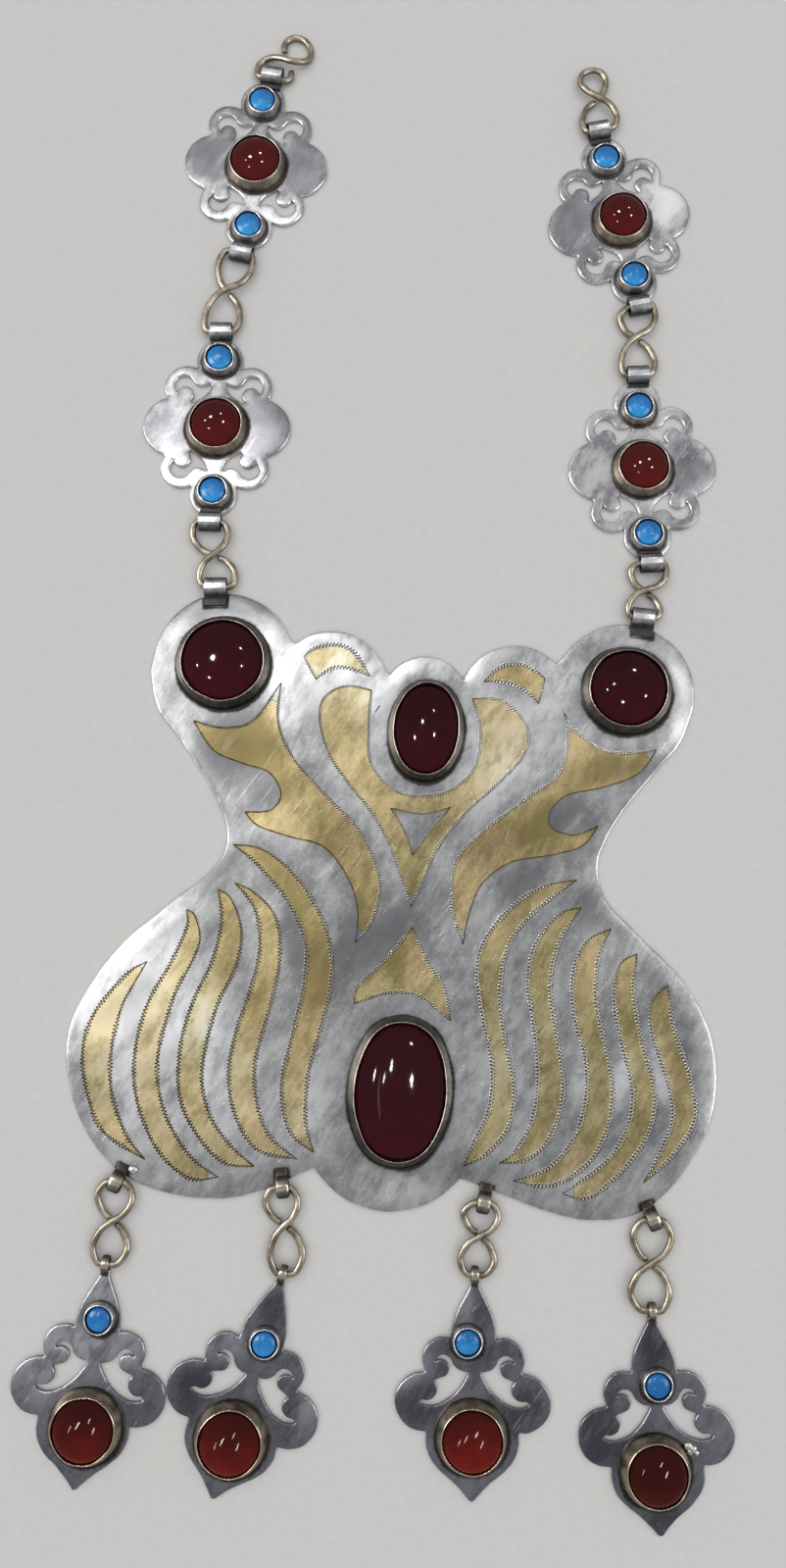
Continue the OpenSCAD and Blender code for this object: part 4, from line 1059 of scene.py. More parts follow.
GILT = {
    "leaf_left_1": leaf(
        (-49.7, -14.2), [(-53.5, -17), (-59, -25), (-60.3, -33), (-58, -41.5), (-54.5, -47)],
        (-46.5, -51.2), [(-50.5, -47), (-54, -39.5), (-54.9, -32), (-54, -24), (-52.3, -19.5)]),
    "leaf_left_2": leaf(
        (-42.9, -3.7), [(-42.6, -7), (-45, -14), (-48.7, -22), (-50.3, -31), (-49.2, -40), (-44.5, -49),
                        (-38, -54)],
        (-32.3, -53.5), [(-38, -50), (-43.5, -42.5), (-45.9, -33), (-44, -21), (-41, -13.5), (-39.9, -9),
                         (-41.3, -4.7)]),
    "leaf_left_3": leaf(
        (-37.2, 0.7), [(-36, -5), (-37, -13), (-40, -21), (-41.7, -30), (-41, -39), (-37, -46),
                       (-31.5, -50.7)],
        (-25.7, -51), [(-30.5, -47.5), (-35, -42), (-37.2, -34), (-35.5, -22), (-32.5, -14), (-32, -7),
                       (-34.5, -1)]),
    "leaf_left_4": leaf(
        (-34, 2.2), [(-29.7, -2.5), (-28.1, -10), (-29.2, -18), (-31.2, -26), (-32, -34), (-30.2, -41.5),
                     (-25.5, -47.8)],
        (-17.7, -49.1), [(-23.5, -45), (-26.5, -38), (-27.1, -31), (-25.2, -21), (-24.1, -12),
                         (-25.5, -4), (-30, 0.5)]),
    "leaf_left_5": leaf(
        (-35, 9.7), [(-30, 6.2), (-23.5, -0.5), (-19.3, -8.5), (-19, -17), (-20.7, -28), (-21.7, -36),
                     (-19.5, -44)],
        (-14.6, -47.6), [(-16.6, -42), (-16.8, -33), (-15, -24), (-13.7, -14), (-16, -4.5), (-22, 4),
                         (-29, 9)]),
    "leaf_right_1": leaf(
        (32.5, 7.5), [(26, 5.7), (20, 1), (15.5, -5.5), (14.4, -12), (16.2, -21), (18.3, -29),
                      (18.3, -37), (16, -43)],
        (14, -48.1), [(18, -45.7), (22, -40.5), (22.8, -33), (20.5, -24.5), (19, -15), (20.2, -6),
                      (25, 1)]),
    "leaf_right_2": leaf(
        (33.7, 2.2), [(29.5, 0.5), (25.2, -6), (24.4, -13.5), (26, -21.5), (27.3, -31), (26.5, -39),
                      (23.5, -45)],
        (20.7, -47.1), [(26, -46), (30.2, -41.5), (32.2, -33), (30.2, -22), (28.6, -13), (30, -4.5)]),
    "leaf_right_3": leaf(
        (39.7, -1.5), [(35, -4.5), (32.9, -11), (33.7, -19), (36.2, -27), (36.5, -35), (34.5, -42),
                       (30, -47.5)],
        (23.5, -50.2), [(31, -50.5), (37.5, -46), (41, -39), (41.5, -31), (39.5, -23), (37.5, -15),
                        (37.7, -7)]),
    "leaf_right_4": leaf(
        (45, -6), [(41.7, -8.5), (41.2, -16), (43.2, -24), (45.4, -32), (44.7, -39), (41, -45.5)],
        (33, -51.9), [(38, -52.2), (44.5, -46.5), (49, -39), (49.6, -32), (47.2, -24), (45.1, -16),
                      (44.6, -11)]),
    "leaf_right_5": leaf(
        (51.2, -11.5), [(48.3, -15), (48.7, -21), (52.2, -30.5), (53.2, -37), (50.5, -44.5)],
        (48.2, -48.7), [(53.5, -43.5), (57.4, -36.5), (56.2, -28.5), (52.7, -19.5)]),
    "horn_left": [
        (HORN, [(-45.1, 33.8), (-39.2, 32.8), (-33.3, 34.7), (-28.4, 42.7)]),
        (HORN, [(-28.4, 42.7), (-28.3, 34.7), (-24.6, 27.5), (-17.4, 20.4), (-10.5, 14), (-6, 5.2),
                (-6.5, -2.5), (-9.6, -7.7)]),
        (PLAIN, [(-9.6, -7.7), (-9.7, -1), (-12.5, 5.5), (-17.4, 10.6), (-24.2, 12.1), (-30.5, 13.8),
                 (-33.3, 16.3)]),
        (PLAIN, [(-33.3, 16.3), (-28.3, 17), (-26.5, 20.4), (-29.2, 24.5), (-34.2, 25.9), (-40.5, 28.1),
                 (-45.1, 33.8)]),
    ],
    "horn_right": [
        (HORN, [(28.4, 40.6), (31.9, 36.5), (36.9, 33.6), (42, 33.5), (47.1, 34.5)]),
        (PLAIN, [(47.1, 34.5), (43.7, 29.5), (36.9, 26.3), (30.1, 24.3), (26.9, 21.1), (26.9, 17.7),
                 (31.5, 16.3), (36.2, 18.4)]),
        (PLAIN, [(36.2, 18.4), (33.3, 14.3), (26.9, 12), (19.6, 10.2), (14.2, 5.6), (12, -0.5),
                 (11.2, -6.5)]),
        (HORN, [(11.2, -6.5), (8.5, 1.5), (9.2, 10.2), (14.2, 16.1), (21.5, 22.5), (27.8, 27.9),
                (29.6, 34.7), (28.4, 40.6)]),
    ],
    "collar": [
        (HORN, [(-10.3, 42.5), (-15.5, 43), (-19.6, 40.2), (-20, 35.5), (-17.8, 29.3), (-13.3, 23.4),
                (-8.3, 17.9), (-4.2, 11.5), (0.7, 0)]),
        (HORN, [(0.7, 0), (5.1, 12), (10.5, 19.7), (16, 25.4), (21, 32), (21, 37.5), (16, 42.2),
                (10.1, 42.2)]),
        (HORN, [(10.1, 42.2), (12.1, 35.6), (11.5, 28.8), (7.4, 23.8), (1.3, 21.9), (-4.2, 22.7),
                (-9.2, 27.5), (-10.3, 34.7), (-10.3, 42.5)]),
    ],
    "collar_window": [
        (0.2, [(-4.7, 19.1), (1.5, 18.5), (7, 20.1)]),
        (0.2, [(7, 20.1), (3.6, 15.5), (0.3, 10.1)]),
        (0.2, [(0.3, 10.1), (-1.9, 15), (-4.7, 19.1)]),
    ],
    "crescent_left": [
        (LEAF, [(-21.5, 44), (-18.7, 46.3), (-16, 46.8), (-12.8, 46.1), (-10.8, 45.4)]),
        (LEAF, [(-10.8, 45.4), (-14.2, 50), (-18, 51.4), (-22.4, 50.3), (-24.3, 48.4)]),
        (HORN, [(-24.3, 48.4), (-22.9, 46.2), (-21.5, 44)]),
    ],
    "crescent_right": [
        (LEAF, [(12.1, 45.9), (16, 46.1), (19.2, 45.2), (21.5, 43.8), (23.2, 42.2)]),
        (HORN, [(23.2, 42.2), (23.8, 44.8), (24.2, 47.5)]),
        (LEAF, [(24.2, 47.5), (21.5, 49.3), (18.7, 50), (15, 49), (12.1, 45.9)]),
    ],
    "spade": [
        (HORN, [(1.2, -4), (-3.5, -10.5), (-8.5, -16), (-9, -19.3)]),
        (HORN, [(-9, -19.3), (-4, -17.2), (0, -16.5), (4, -17.2), (9.7, -21.2)]),
        (HORN, [(9.7, -21.2), (8, -14.7), (5, -11), (1.2, -4)]),
    ],
}
# Tips where the engraved line runs on but the gold stops short: x, y, radius left bare.
BARE_TIPS = [(-28.4, 42.7, 4), (28.6, 40, 3.4), (-9.4, -7.4, 2.5), (11.2, -6, 2.5), (0.7, 1, 1.8),
             (47, 34.5, 2.4), (-49.7, -14.4, 1.6), (-32.5, -53.3, 2), (33, -51.7, 2.2), (23.8, -50.1, 2),
             (-17.9, -49, 1.6)]
gilt_loops = {name: np.vstack([through(edge[1])[:-1] for edge in edges]) for name, edges in GILT.items()}
for name, inset in (("crescent_left", 0.4), ("crescent_right", 0.3)):
    loop = evenly(gilt_loops[name], 0.5)
    gilt_loops[name] = loop - outward(loop) * inset
print("gilt shapes:", len(gilt_loops))

# %% [markdown]
# Four settings stand on the plate: two round ones on the outer lobes, an oval one in the collar and a
# large oval one below. Two wide bails join the chains, and four narrow loops carry the drops. A table
# paints highlight on the sheet where it would lean towards a lamp and shine, and shade where it would
# lean away and go grey.

# %% Plate with its settings and loops
PLATE_STONES = {
    # name: centre, half size at the foot, lean
    "stone_corner_left": ((-40.3, 46), (9.5, 9.5), 1.1),
    "stone_corner_right": ((40.7, 46.1), (9, 9), 1.1),
    "stone_upper_oval": ((1.2, 35.1), (7.6, 10.3), 0.95),
    "stone_large_oval": ((1, -35.1), (10.1, 14.3), 1.15),
}
PLATE_BAILS = [(-43.2, 61.4, 4), (43.2, 61.2, -2)]
# x, y, turn of the loop, and turn of the link's eye in it.
PLATE_LOOPS = [(-51.4, -55.7, -18, 0), (-19.9, -54.5, 10, 4), (18.2, -54.6, -6, 0), (50.2, -55.4, 24, 2)]
PLATE_SEED, PLATE_HEIGHT, PLATE_DRUM = 1, 2.8, 1.6
SOLDER_DROP = (-48.5, -53.3)
# Painted highlight and shade where the sheet would lean towards or away from a lamp: x, y, half length, half
# width, turn, amount.
DABS = [
    (-24, 46, 9, 5, -20, 0.9), (-9.5, 42, 6, 2.5, 80, 0.9), (3, 48.5, 7, 2.5, 0, 0.7),
    (-27, 38, 8, 2.5, 100, 0.9), (-55.5, -16, 10, 4, 55, 0.85), (-46, -17, 8, 2, 75, 0.5),
    (-36.5, -28, 9, 2.5, 100, 1), (-42, -44, 8, 4, -30, 0.2), (17, 30, 9, 3.5, 65, 0.8),
    (52, 38, 5, 3, 60, 0.6), (29, 45, 6, 4, 30, 0.3), (35.5, -30, 5, 1.6, 80, 0.6),
    (43, -30, 5, 1.4, 80, 0.9), (22, -28, 12, 8, 90, 0.3), (50.5, -28, 5, 1.2, 100, 0.6),
    (-15, -15, 11, 5, 60, -0.9), (-5, -7, 9, 5, 30, -0.6), (-38, 27, 6, 5, 0, -1.2), (5, 2, 6, 5, 0, -0.5),
    (15, 14, 8, 4, 40, -0.5), (22, 7, 7, 4, 30, -0.6), (-26, 5, 10, 4, -40, -0.6), (36, 3, 4, 4, 0, -0.5),
    (-38, 60, 9, 3, 0, -1.3), (-38, 3, 5, 4, 40, -0.6), (-33, -10, 8, 2.5, 95, -0.2),
    (14, -49, 6, 3, 0, -0.4), (55, -24, 8, 3, 110, -0.3), (30, -48, 8, 3, 20, -0.2),
    (-46, 57, 7, 3, 20, -0.8), (-16, 48.5, 7, 3.5, 0, 1.2), (29, 47, 5, 4, 0, 0.5), (12, 37, 6, 4, 70, 0.5),
    (-36, 31, 6, 4, 0, -0.9), (-34, 30.5, 5, 4, 30, -0.7), (-21, -8, 6, 2.5, 110, -0.8),
    (33, 45, 5, 4, 0, -0.9), (-28, 22, 6, 4, 60, -0.5), (20, 16, 8, 4, 30, -0.3), (-43, -26, 7, 4, 80, 0.7),
    (-30, -33, 8, 5, 80, 0.45), (-52, -33, 9, 4, 100, 0.6), (-58, -31, 9, 2.5, 100, 0.3),
    (36, -48, 4, 4, 0, 0.4), (-16, -42, 8, 5, 90, 0.3), (-15, 12, 9, 5, -50, -0.5), (27, 17, 5, 4, 0, -0.5),
    (31, 20.5, 4, 3, 20, -1), (38, 30, 7, 3, 15, -0.9), (-27, -22, 7, 3, 90, -0.5), (18, 47, 5, 3, 0, -0.5),
    (0, -54, 9, 3, 0, 0.4),
]


def foot_loop(half):
    """A circle or an oval, by the half width and half length of a stone's setting."""
    return circle((0, 0), half[0]) if half[0] == half[1] else oval(half)


def strip_foot(x, y, turn, width, out):
    """The outline of a strip's foot where it lies on the plate."""
    w = width / 2
    return placed([(-w, 0.8), (w, 0.8), (w, 0.8 + out), (-w, 0.8 + out)], (x, y), turn + 180)


plate = Piece("medallion", "silver")
rings = {name: placed(foot_loop(half), at) for name, (at, half, _) in PLATE_STONES.items()}
feet = [*rings.values(), *(strip_foot(*row, BAIL_W, 3) for row in PLATE_BAILS),
        *(strip_foot(x, y, turn + 180, 2.5, 2.8) for x, y, turn, _ in PLATE_LOOPS)]
cut_sheet(plate, plate_outline, [], plate_silver, PLATE_SEED, PLATE_SPACING, feet=feet, dabs=DABS,
          swell=PLATE_SWELL, gilt=gilt_loops.values(), bare=BARE_TIPS)
for k, (name, (_, _, lean)) in enumerate(PLATE_STONES.items()):
    setting(plate, rings[name], lean, PLATE_HEIGHT, plate_wall, 90 + k, waver=0.08)
for k, (x, y, turn) in enumerate(PLATE_BAILS):
    bail(plate, (x, y), turn, BAIL_W, BAIL_SLIDE, BAIL_FOOT + 0.8, bail_strip, 100 + k)
for k, (x, y, turn, _) in enumerate(PLATE_LOOPS):
    bail(plate, (x, y), turn + 180, 2.4, BAIL_SLIDE, BAIL_FOOT + 0.6, loop_strip, 110 + k, soft=0.6)
cabochon(plate, circle(SOLDER_DROP, 0.9, 24), SOLDER_DROP, 0.05, 0.5, solder, rows=8)
plate.finish(METAL_CREASE)
for name, (at, half, lean) in PLATE_STONES.items():
    half = np.array(half) - lean - RIM
    dome = 2.4 if half[0] == half[1] else 2.6
    stone(name, "dark_carnelian", placed(foot_loop(half - 0.03), at), at, PLATE_DRUM, dome, plate_stone,
          rows=18, lit=-0.3 if name == "stone_large_oval" else 0)
    domes[name] = dict(centre=np.array(at), half=half, base=STONE_FOOT + PLATE_DRUM, dome=dome,
                       rim=SHEET + PLATE_HEIGHT, power=0.8, radius=4)

# %% [markdown]
# The outlines were engraved by rocking a flat graver from side to side, which walks it forward in a
# zigzag. The tool digs in at each turn, so the line is a thin zigzag with a row of small pits on
# either side, each with a dark wall and a glint. Here the zigzag is a narrow strip, its strokes painted
# in shade or in light by turns, with a low pyramid at each turn painted dark as a pit in shade and a
# smaller one beside it painted bright as a glint. All of it is carried along the gilt edges and lies on
# the sheet. Cutting it into the sheet would take a far finer mesh for the same look.

# %% Engraved zigzag lines
GRAVER_STEP = 0.1
STROKE_WIDE, STROKE_FINE = 0.68, 0.56
PIT_CORNERS = np.array([(1, 0.3), (-0.3, 1), (-1, -0.3), (0.3, -1)])
SCRATCHES = [
    # from x, y to x, y, width
    (-30.9, 24.8, -35.5, 17.7, 0.13), (-28.1, 22.3, -30.3, 18.4, 0.09), (-23.4, 35.3, -25.3, 31.6, 0.1),
    (-20.3, 32.9, -21.5, 29.8, 0.12), (-28.1, 29.6, -31.1, 24.2, 0.06), (-14.2, 29.8, -15.4, 26.4, 0.08),
    (-16.7, 32.2, -19.7, 26.1, 0.06), (-26, 45.8, -26.8, 41.6, 0.06), (-26.4, -0.9, -27.8, -1.3, 0.12),
    (-19, 38.6, -20.4, 34.9, 0.05), (19, 16.8, 18.2, 14.2, 0.1), (12.9, 14.1, 12.4, 7.7, 0.05),
    (21.6, 22.3, 20, 20.4, 0.08), (23.8, 33.5, 23, 28.2, 0.06), (26, 36.6, 24.5, 31.2, 0.06),
]


def plate_height(points):
    edge = nearest(points, [evenly(plate_outline, OUTLINE_STEP)])
    return sheet_top(points, edge, PLATE_SEED, PLATE_SWELL)


def engrave(piece, path, width, seed, start=2.5, end=2.5):
    """A zigzag line. Its corners lie left and right of the path by half the width, and ease to
    nothing over the lengths start and end. Strokes one way are painted in shade. Strokes the other way
    are painted as catching light, more so further right. A pit, with a painted glint beside it, ends each
    stroke."""
    path = evenly(path, GRAVER_STEP, closed=False)
    length = GRAVER_STEP * (len(path) - 1)
    n = max(int(2 * length / (STROKE_WIDE if width > 0.4 else STROKE_FINE)), 2)
    s = np.linspace(0, len(path) - 1, n + 1)
    centre = np.column_stack([np.interp(s, np.arange(len(path)), path[:, k]) for k in (0, 1)])
    far = s * GRAVER_STEP
    ease = np.clip(far / start, 0.1, 1) * np.clip((length - far) / end, 0.1, 1)
    swing = np.where(np.arange(n + 1) % 2 == 0, 1, -1) * width / 2 * (1 + hand(s, seed, 60, 0.3)) * ease
    corner = centre + sides(centre, closed=False) * swing[:, None]
    z = plate_height(corner) + 0.015
    d = unit(np.diff(corner, axis=0))
    left = np.column_stack([-d[:, 1], d[:, 0]])
    before = np.vstack([left[:1], left])
    mitre = before + np.vstack([left, left[-1:]])
    mitre /= np.maximum((mitre * before).sum(1, keepdims=True), 0.5)
    half = 0.105 * (1 + hand(s, seed + 3, 30, 0.2))[:, None]
    rows = [raised(corner + mitre * half * off, z + up) for off, up in ((1, 0), (0, 0.025), (-1, 0))]
    strokes = np.stack([np.stack([row[:-1], row[1:]], 1) for row in rows], 1)
    i = 6 * np.arange(n)[:, None]
    toothed = ease * min(width / 0.28, 1)
    lit = np.clip(0.55 + centre[:, 0] / 80, 0.05, 0.9) * toothed
    shade = np.where(np.arange(n) % 2 == 0, 1.0, 1 - 0.9 * lit[:-1])
    quads = [i + [0, 2, 3, 1], i + [2, 4, 5, 3]]
    piece.add(strokes.reshape(-1, 3), quads, engraved, dark=np.repeat(shade, 6))
    size = (0.19 * (0.6 + 0.4 * min(width / 0.46, 1)) * (1 + hand(s, seed + 5, 20, 0.25))
            * (0.4 + 0.6 * toothed))
    glint = 0.75 * (0.35 + lit * 0.9)
    i = np.arange(n + 1)
    for shift, scale, height, dark in ((0.0, 1.0, 0.045, 1.0), (0.17, glint, 0.065, 0.0)):
        heart = corner + shift * np.array([-0.75, 0.66])
        around = heart[:, None] + (size * scale)[:, None, None] * PIT_CORNERS
        rim = raised(around.reshape(-1, 2), np.repeat(z, 4))
        flanks = [np.column_stack([4 * i + k, 4 * i + (k + 1) % 4, 4 * (n + 1) + i]) for k in range(4)]
        piece.add(np.vstack([rim, raised(heart, z + height)]), flanks, engraved, dark=dark)


def scratch(piece, x1, y1, x2, y2, width):
    """A bright scratch: a thin lens from one point to the other, lying on the sheet."""
    t = np.linspace(0, 1, 9)
    line = np.array([x1, y1]) + t[:, None] * np.array([x2 - x1, y2 - y1])
    across = sides(line, closed=False) * (width / 2 * np.sin(math.pi * t) ** 0.5)[:, None]
    z = plate_height(line) + 0.012
    points = np.vstack([raised(line + across, z), raised(line - across, z)])
    piece.add(points, [grid(2, len(t), wrap=False)[:, ::-1]], engraved, dark=0.0)


lines = Piece("medallion_engraving", "silver", stands_for=False)
for k, edges in enumerate(GILT.values()):
    for j, (width, points, *ease) in enumerate(edges):
        engrave(lines, through(points), width, 200 + 10 * k + j, *ease)
engrave(lines, np.array([(-8.4, 39.5), (-9.2, 38.1)]), PLAIN, 400)
for row in SCRATCHES:
    scratch(lines, *row)
lines.finish()

# %% [markdown]
# Now the wire. The links run between the bails of the rosettes, the plate and the drops, so their
# table names those places. The left end is an open hook, the right end a closed eye.

# %% Links and hook
ends = {"neck": ((26.9, 181.3), 8, FREE)}
for name, rosette in ROSETTES.items():
    for way, side in (("top", 1), ("low", -1)):
        ends[f"{name}/{way}"] = (*bail_place(rosette, side)[:2], WIDE)
for side, (x, y, turn) in zip(("left", "right"), PLATE_BAILS):
    ends[f"plate/{side}"] = ((x, y), turn, WIDE)
for k, (x, y, _, eye_turn) in enumerate(PLATE_LOOPS, 1):
    ends[f"loop/{k}"] = ((x, y), eye_turn, NARROW)
    ends[f"drop/{k}"] = (placed([(0, DROP_RING_Y)], *DROPS[k][:2])[0], 0, NARROW)
LINKS = {
    # name: upper end, lower end, crossing, upper eye, lower eye, and -1 where the other strand is over
    "link_left_mid": ("left_top/low", "left_low/top", (-1, 0.51), (-4.2, 3), (-4.1, 3.1)),
    "link_right_mid": ("right_top/low", "right_low/top", (-0.4, 0.54), (-4, 3.3), (-3.5, 3.5)),
    "link_left_low": ("left_low/low", "plate/left", (0.3, 0.49), (-3.7, 3.5), (-3.1, 4.1)),
    "link_right_low": ("right_low/low", "plate/right", (-0.4, 0.48), (-3.8, 3.3), (-3.3, 3.2)),
    "eye_right_end": ("neck", "right_top/top", (0.6, 0.53), (-2.8, 2.9), (-3.1, 4.2), -1),
    "link_drop_1": ("loop/1", "drop/1", (0.2, 0.52), (-3.2, 3.5), (-2.8, 3.6)),
    "link_drop_2": ("loop/2", "drop/2", (0.3, 0.56), (-3.3, 2.9), (-2.4, 3.7)),
    "link_drop_3": ("loop/3", "drop/3", (-0.1, 0.54), (-3.5, 3), (-3.1, 3.3)),
    "link_drop_4": ("loop/4", "drop/4", (-0.5, 0.52), (-3.7, 3.4), (-4.1, 3.2)),
}
HOOK_AT = (-39.8, 181, 0)
hook_path = np.array([
    [0.7, 0.4, 0.7], [0.3, 2, 0.7], [1, 3.5, 0.7], [2.7, 4.2, 0.7], [4.6, 3.6, 0.7], [5.9, 1.9, 0.7],
    [6.1, 0, 0.8], [5.3, -1.5, 1.2], [3.8, -2.3, 1.9], [1.9, -2.3, 2.1], [0, -1.6, 1.8], [-2, -1.2, 1.2],
    [-3.9, -1.8, 0.8], [-4.9, -3.3, 0.9], [-5, -5, 1.2], [-4.2, -6, 1.5], [-2.6, -6.25, 1.5],
    [-1, -6.35, 1.5],
    [0.7, -6.6, 1.4], [1.9, -6.1, 1.1], [2.4, -4.9, 0.85], [2.1, -3.7, 0.72],
])


def wire_piece(name, path, seed):
    piece = Piece(name, "link_wire")
    wire(piece, path, link_wire, seed)
    piece.finish()


for k, (name, (upper, lower, *shape)) in enumerate(LINKS.items()):
    wire_piece(name, figure_eight(ends[upper], ends[lower], *shape), 300 + k)
wire_piece("hook_left_end", through(hook_path, 6) + HOOK_AT, 320)

# %% [markdown]
# The necklace lies on a plain pale table. A pale sky fills in the shadows. The metals also see two
# soft side lamps and a few small ceiling lamps, whose glints run along the wires and rims. A large
# soft lamp lights the table alone, so that the table stays even whatever the metals need. Which lamp
# lights what is set by light linking.

# %% Table, sky and soft lamps
table_only = bpy.data.collections.new("lit_by_table_lamp")
metals = bpy.data.collections.new("lit_by_side_and_ceiling_lamps")
TABLE_HALF_M, TABLE_Z = 3, -0.06
SKY_COLOUR, SKY_STRENGTH = (0.95, 0.97, 1.0, 1), 0.4
CEILING_HEIGHT, CEILING_POWER, CEILING_RADIUS = 1000, 3.2, 22
# Ceiling lamps: x, y, share of the power.
CEILING = [(-248, 429, 1.0), (-547, 318, 0.6), (-301, 77, 0.45), (430, 330, 0.6), (250, 900, 0.4),
           (-202, 725, 0.3)]


def add_lamp(name, kind, power, at, receivers, axes=np.eye(3), **shape):
    """A lamp at a place, shining against the last of its axes on the receivers alone."""
    data = bpy.data.lights.new(name, kind)
    data.energy = power
    for key, value in shape.items():
        setattr(data, key, value)
    lamp = bpy.data.objects.new(name, data)
    stand(lamp, axes, at)
    lamp.light_linking.receiver_collection = receivers


def soft_lamp(name, at, side, power, receivers, tint=(1, 1, 1)):
    """A square lamp that faces the origin."""
    back = unit(np.array(at, float))
    across = unit(np.cross([0, 1, 0], back))
    add_lamp(name, "AREA", power, at, receivers, (across, np.cross(back, across), back),
             shape="RECTANGLE", size=side * MM, size_y=side * MM, color=tint)


mesh = bpy.data.meshes.new("table")
mesh.from_pydata([(TABLE_HALF_M * x, TABLE_HALF_M * y, TABLE_Z * MM)
                  for x, y in ((-1, -1), (1, -1), (1, 1), (-1, 1))], [], [(0, 1, 2, 3)])
f = Finish("pale_table")
weave = f.noise(1.4, 3)
mesh.materials.append(f.surface(
    Base_Color=f.mix(weave, (0.66, 0.645, 0.62), (0.74, 0.725, 0.7)), Roughness=0.9))
table = bpy.data.objects.new("table", mesh)
bpy.context.collection.objects.link(table)
for piece in bpy.context.scene.objects:
    if piece.type == "MESH" and not piece.name.startswith(("stone", "carnelian")):
        (table_only if piece == table else metals).objects.link(piece)

world = bpy.data.worlds.new("sky")
bpy.context.scene.world = world
world.use_nodes = True
sky = world.node_tree.nodes["Background"]
sky.inputs["Color"].default_value = SKY_COLOUR
sky.inputs["Strength"].default_value = SKY_STRENGTH
for k, (x, y, share) in enumerate(CEILING):
    add_lamp(f"ceiling_{k}", "POINT", CEILING_POWER * share, (x, y, CEILING_HEIGHT), metals,
             shadow_soft_size=CEILING_RADIUS * MM)
soft_lamp("low_left", (-420, 60, 260), 260, 1.6, metals, (1, 0.99, 0.97))
soft_lamp("low_right", (430, 0, 260), 260, 0.9, metals, (0.93, 0.96, 1))
soft_lamp("over_table", (0, 0, 3000), 6000, 89, table_only)
bpy.context.scene.view_settings.view_transform = "Standard"
print("lamps:", len(bpy.data.lights))

# %% [markdown]
# Small bright lamps make the points of light on the cabochons. A lamp shows where the stone's normal
# halves the angle between the eye and the lamp, so the place of a lamp can be worked out from the
# place where its point should lie: mirror the line of sight about the normal there. Points painted
# into the stone's colour would stay still when the camera moves, and these don't.

# %% Small lamps for the points of light
LAMP_AWAY, LAMP_WIDTH = 450, 10


def mirrored_lamp(name, receivers, seen, share, centre, half, base, dome, rim, power, radius=4,
                  tall=0, tilt=0):
    """A lamp whose point of light is seen at an offset from the middle of the setting, measured at
    the height of its rim. The dome is dome * sqrt(1 - x^2/a^2 - y^2/b^2) above the base. A tall lamp
    draws its point out to a streak."""
    spot, half = seen, np.array(half)
    for _ in range(5):
        level = math.sqrt(max(1 - ((spot / half) ** 2).sum(), 0.08))
        spot = seen + (EYE[:2] - centre - seen) * (base + dome * level - rim) / (EYE[2] - rim)
    normal = unit(np.array([*(dome * spot / half**2 / level), 1.0]))
    point = np.array([*(centre + spot), base + dome * level])
    sight = unit(EYE - point)
    way = 2 * (normal @ sight) * normal - sight
    at = point + way * LAMP_AWAY
    if tall:
        lean = math.radians(tilt)
        across = unit(np.cross([math.sin(lean), math.cos(lean), 0], way))
        add_lamp(name, "AREA", power * share, at, receivers, (across, np.cross(way, across), way),
                 shape="ELLIPSE", size=LAMP_WIDTH * MM, size_y=tall * MM)
    else:
        add_lamp(name, "POINT", power * share, at, receivers, shadow_soft_size=radius * (1 + share) * MM)


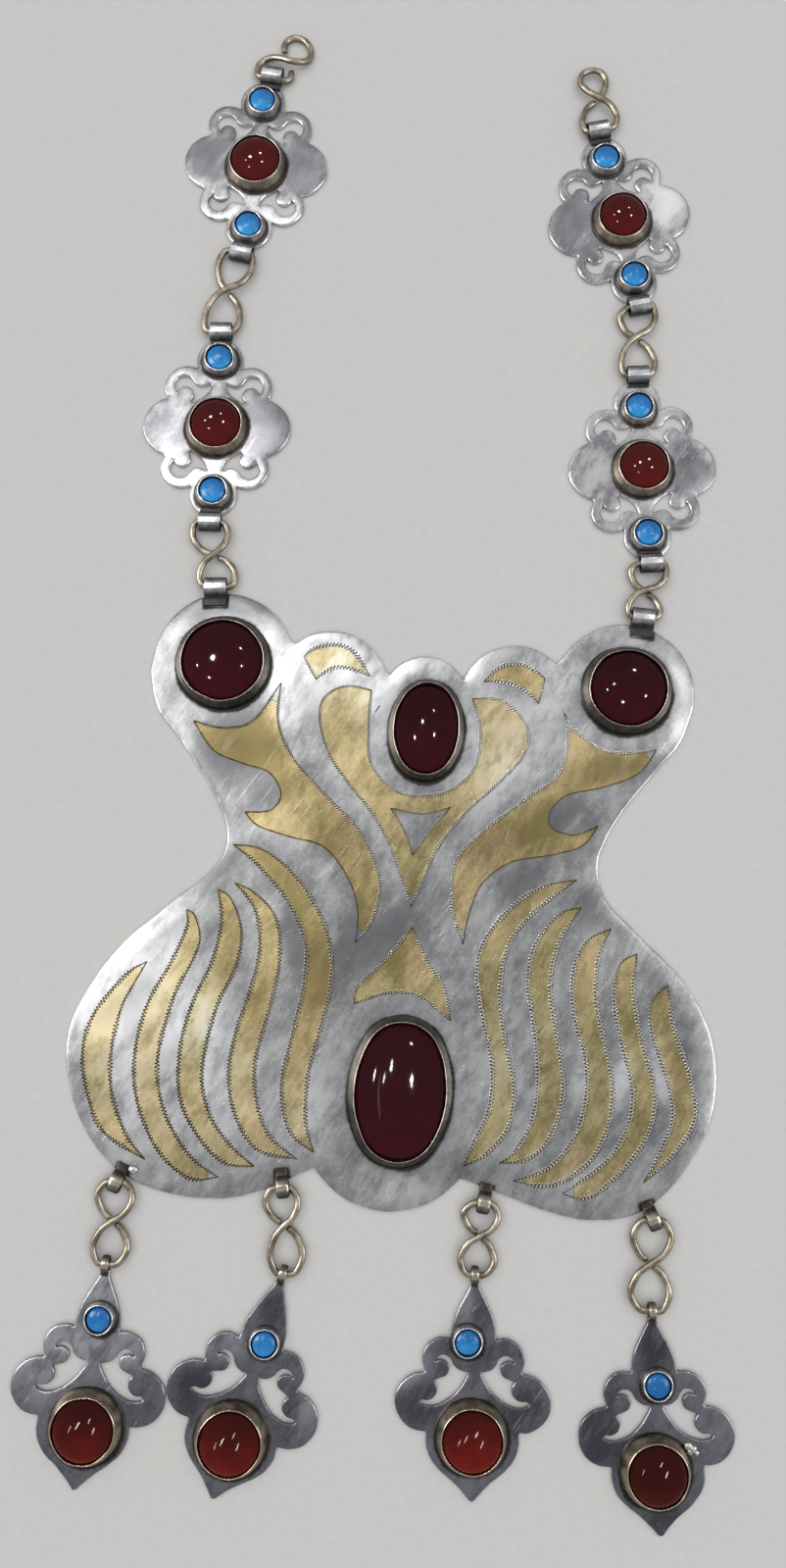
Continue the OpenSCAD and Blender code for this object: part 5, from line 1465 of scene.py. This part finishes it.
POINTS = {
    # stone: rows of x, y and strength, the strongest first
    "carnelian_left_top": [(-0.9, 0.3, 1), (0.9, 1.1, 0.6), (1.5, -0.7, 0.5), (-1, -2.1, 0.4),
                           (-1.8, -0.6, 0.3)],
    "carnelian_left_low": [(-0.9, 1, 1), (1.5, 0.2, 0.6), (-2, 0.2, 0.4), (-1.1, -1.3, 0.4),
                           (0.9, 1.8, 0.3)],
    "carnelian_right_top": [(-0.8, 0.5, 1), (1.6, -0.2, 0.6), (-1.8, -0.3, 0.4), (-1.2, -1.8, 0.4),
                            (1, 1.4, 0.3)],
    "carnelian_right_low": [(-0.8, 0.4, 1), (1.4, -0.4, 0.6), (0.8, 1.1, 0.5), (-1.2, -1.7, 0.4),
                            (-1.9, -0.4, 0.3)],
    "carnelian_drop_1": [(-0.8, 0.9, 0.8), (1.9, 0.3, 0.6), (1.1, 1.9, 0.5), (-2.1, 0.2, 0.4)],
    "carnelian_drop_2": [(-1.1, 0.4, 0.8), (1.4, -0.2, 0.6), (-2.3, -0.3, 0.5), (0.7, 1.5, 0.4)],
    "carnelian_drop_3": [(0.6, 1.3, 0.8), (1.5, -0.2, 0.6), (-1.1, 0.4, 0.5), (-2.3, -0.2, 0.4)],
    "carnelian_drop_4": [(1.3, 0.5, 0.8), (0.4, 2.1, 0.6), (-2.7, 0.7, 0.5)],
    "stone_corner_left": [(-1.6, 0.3, 2.4), (3.5, 2.5, 0.7), (-4.7, -1.5, 0.6), (4, -1, 0.5),
                          (-2.1, -3.8, 0.8)],
    "stone_corner_right": [(0.8, 3.5, 0.9), (3.2, -1.4, 0.8), (-2.9, 0.5, 0.6), (-4.3, -0.7, 0.5),
                           (-1.1, -2.9, 0.9)],
    "stone_upper_oval": [(-0.7, 1.1, 1), (1.5, -1, 0.8), (1, 3.4, 0.5), (-2.1, -1.7, 1)],
    "stone_large_oval": [(-5.1, 2.6, 0.2, 40), (1.8, 2, 0.25, 40), (-1.7, 4.6, 0.2, 50), (1.2, 9.2, 0.7),
                         (-3.1, 2, 0.08, 30), (-5.1, 2.6, 0.5), (1.8, 2, 0.8), (-1.7, 4, 0.5),
                         (-3.9, -1, 0.02, 150, -8)],
}
for name, rows in POINTS.items():
    receivers = bpy.data.collections.new(name)
    receivers.objects.link(bpy.data.objects[name + "_dressed"])
    for k, (x, y, share, *streak) in enumerate(rows):
        shape = domes[name] | dict(zip(("tall", "tilt"), streak))
        mirrored_lamp(f"point_{name}_{k}", receivers, np.array([x, y]), share, **shape)
print("lamps:", len(bpy.data.lights))
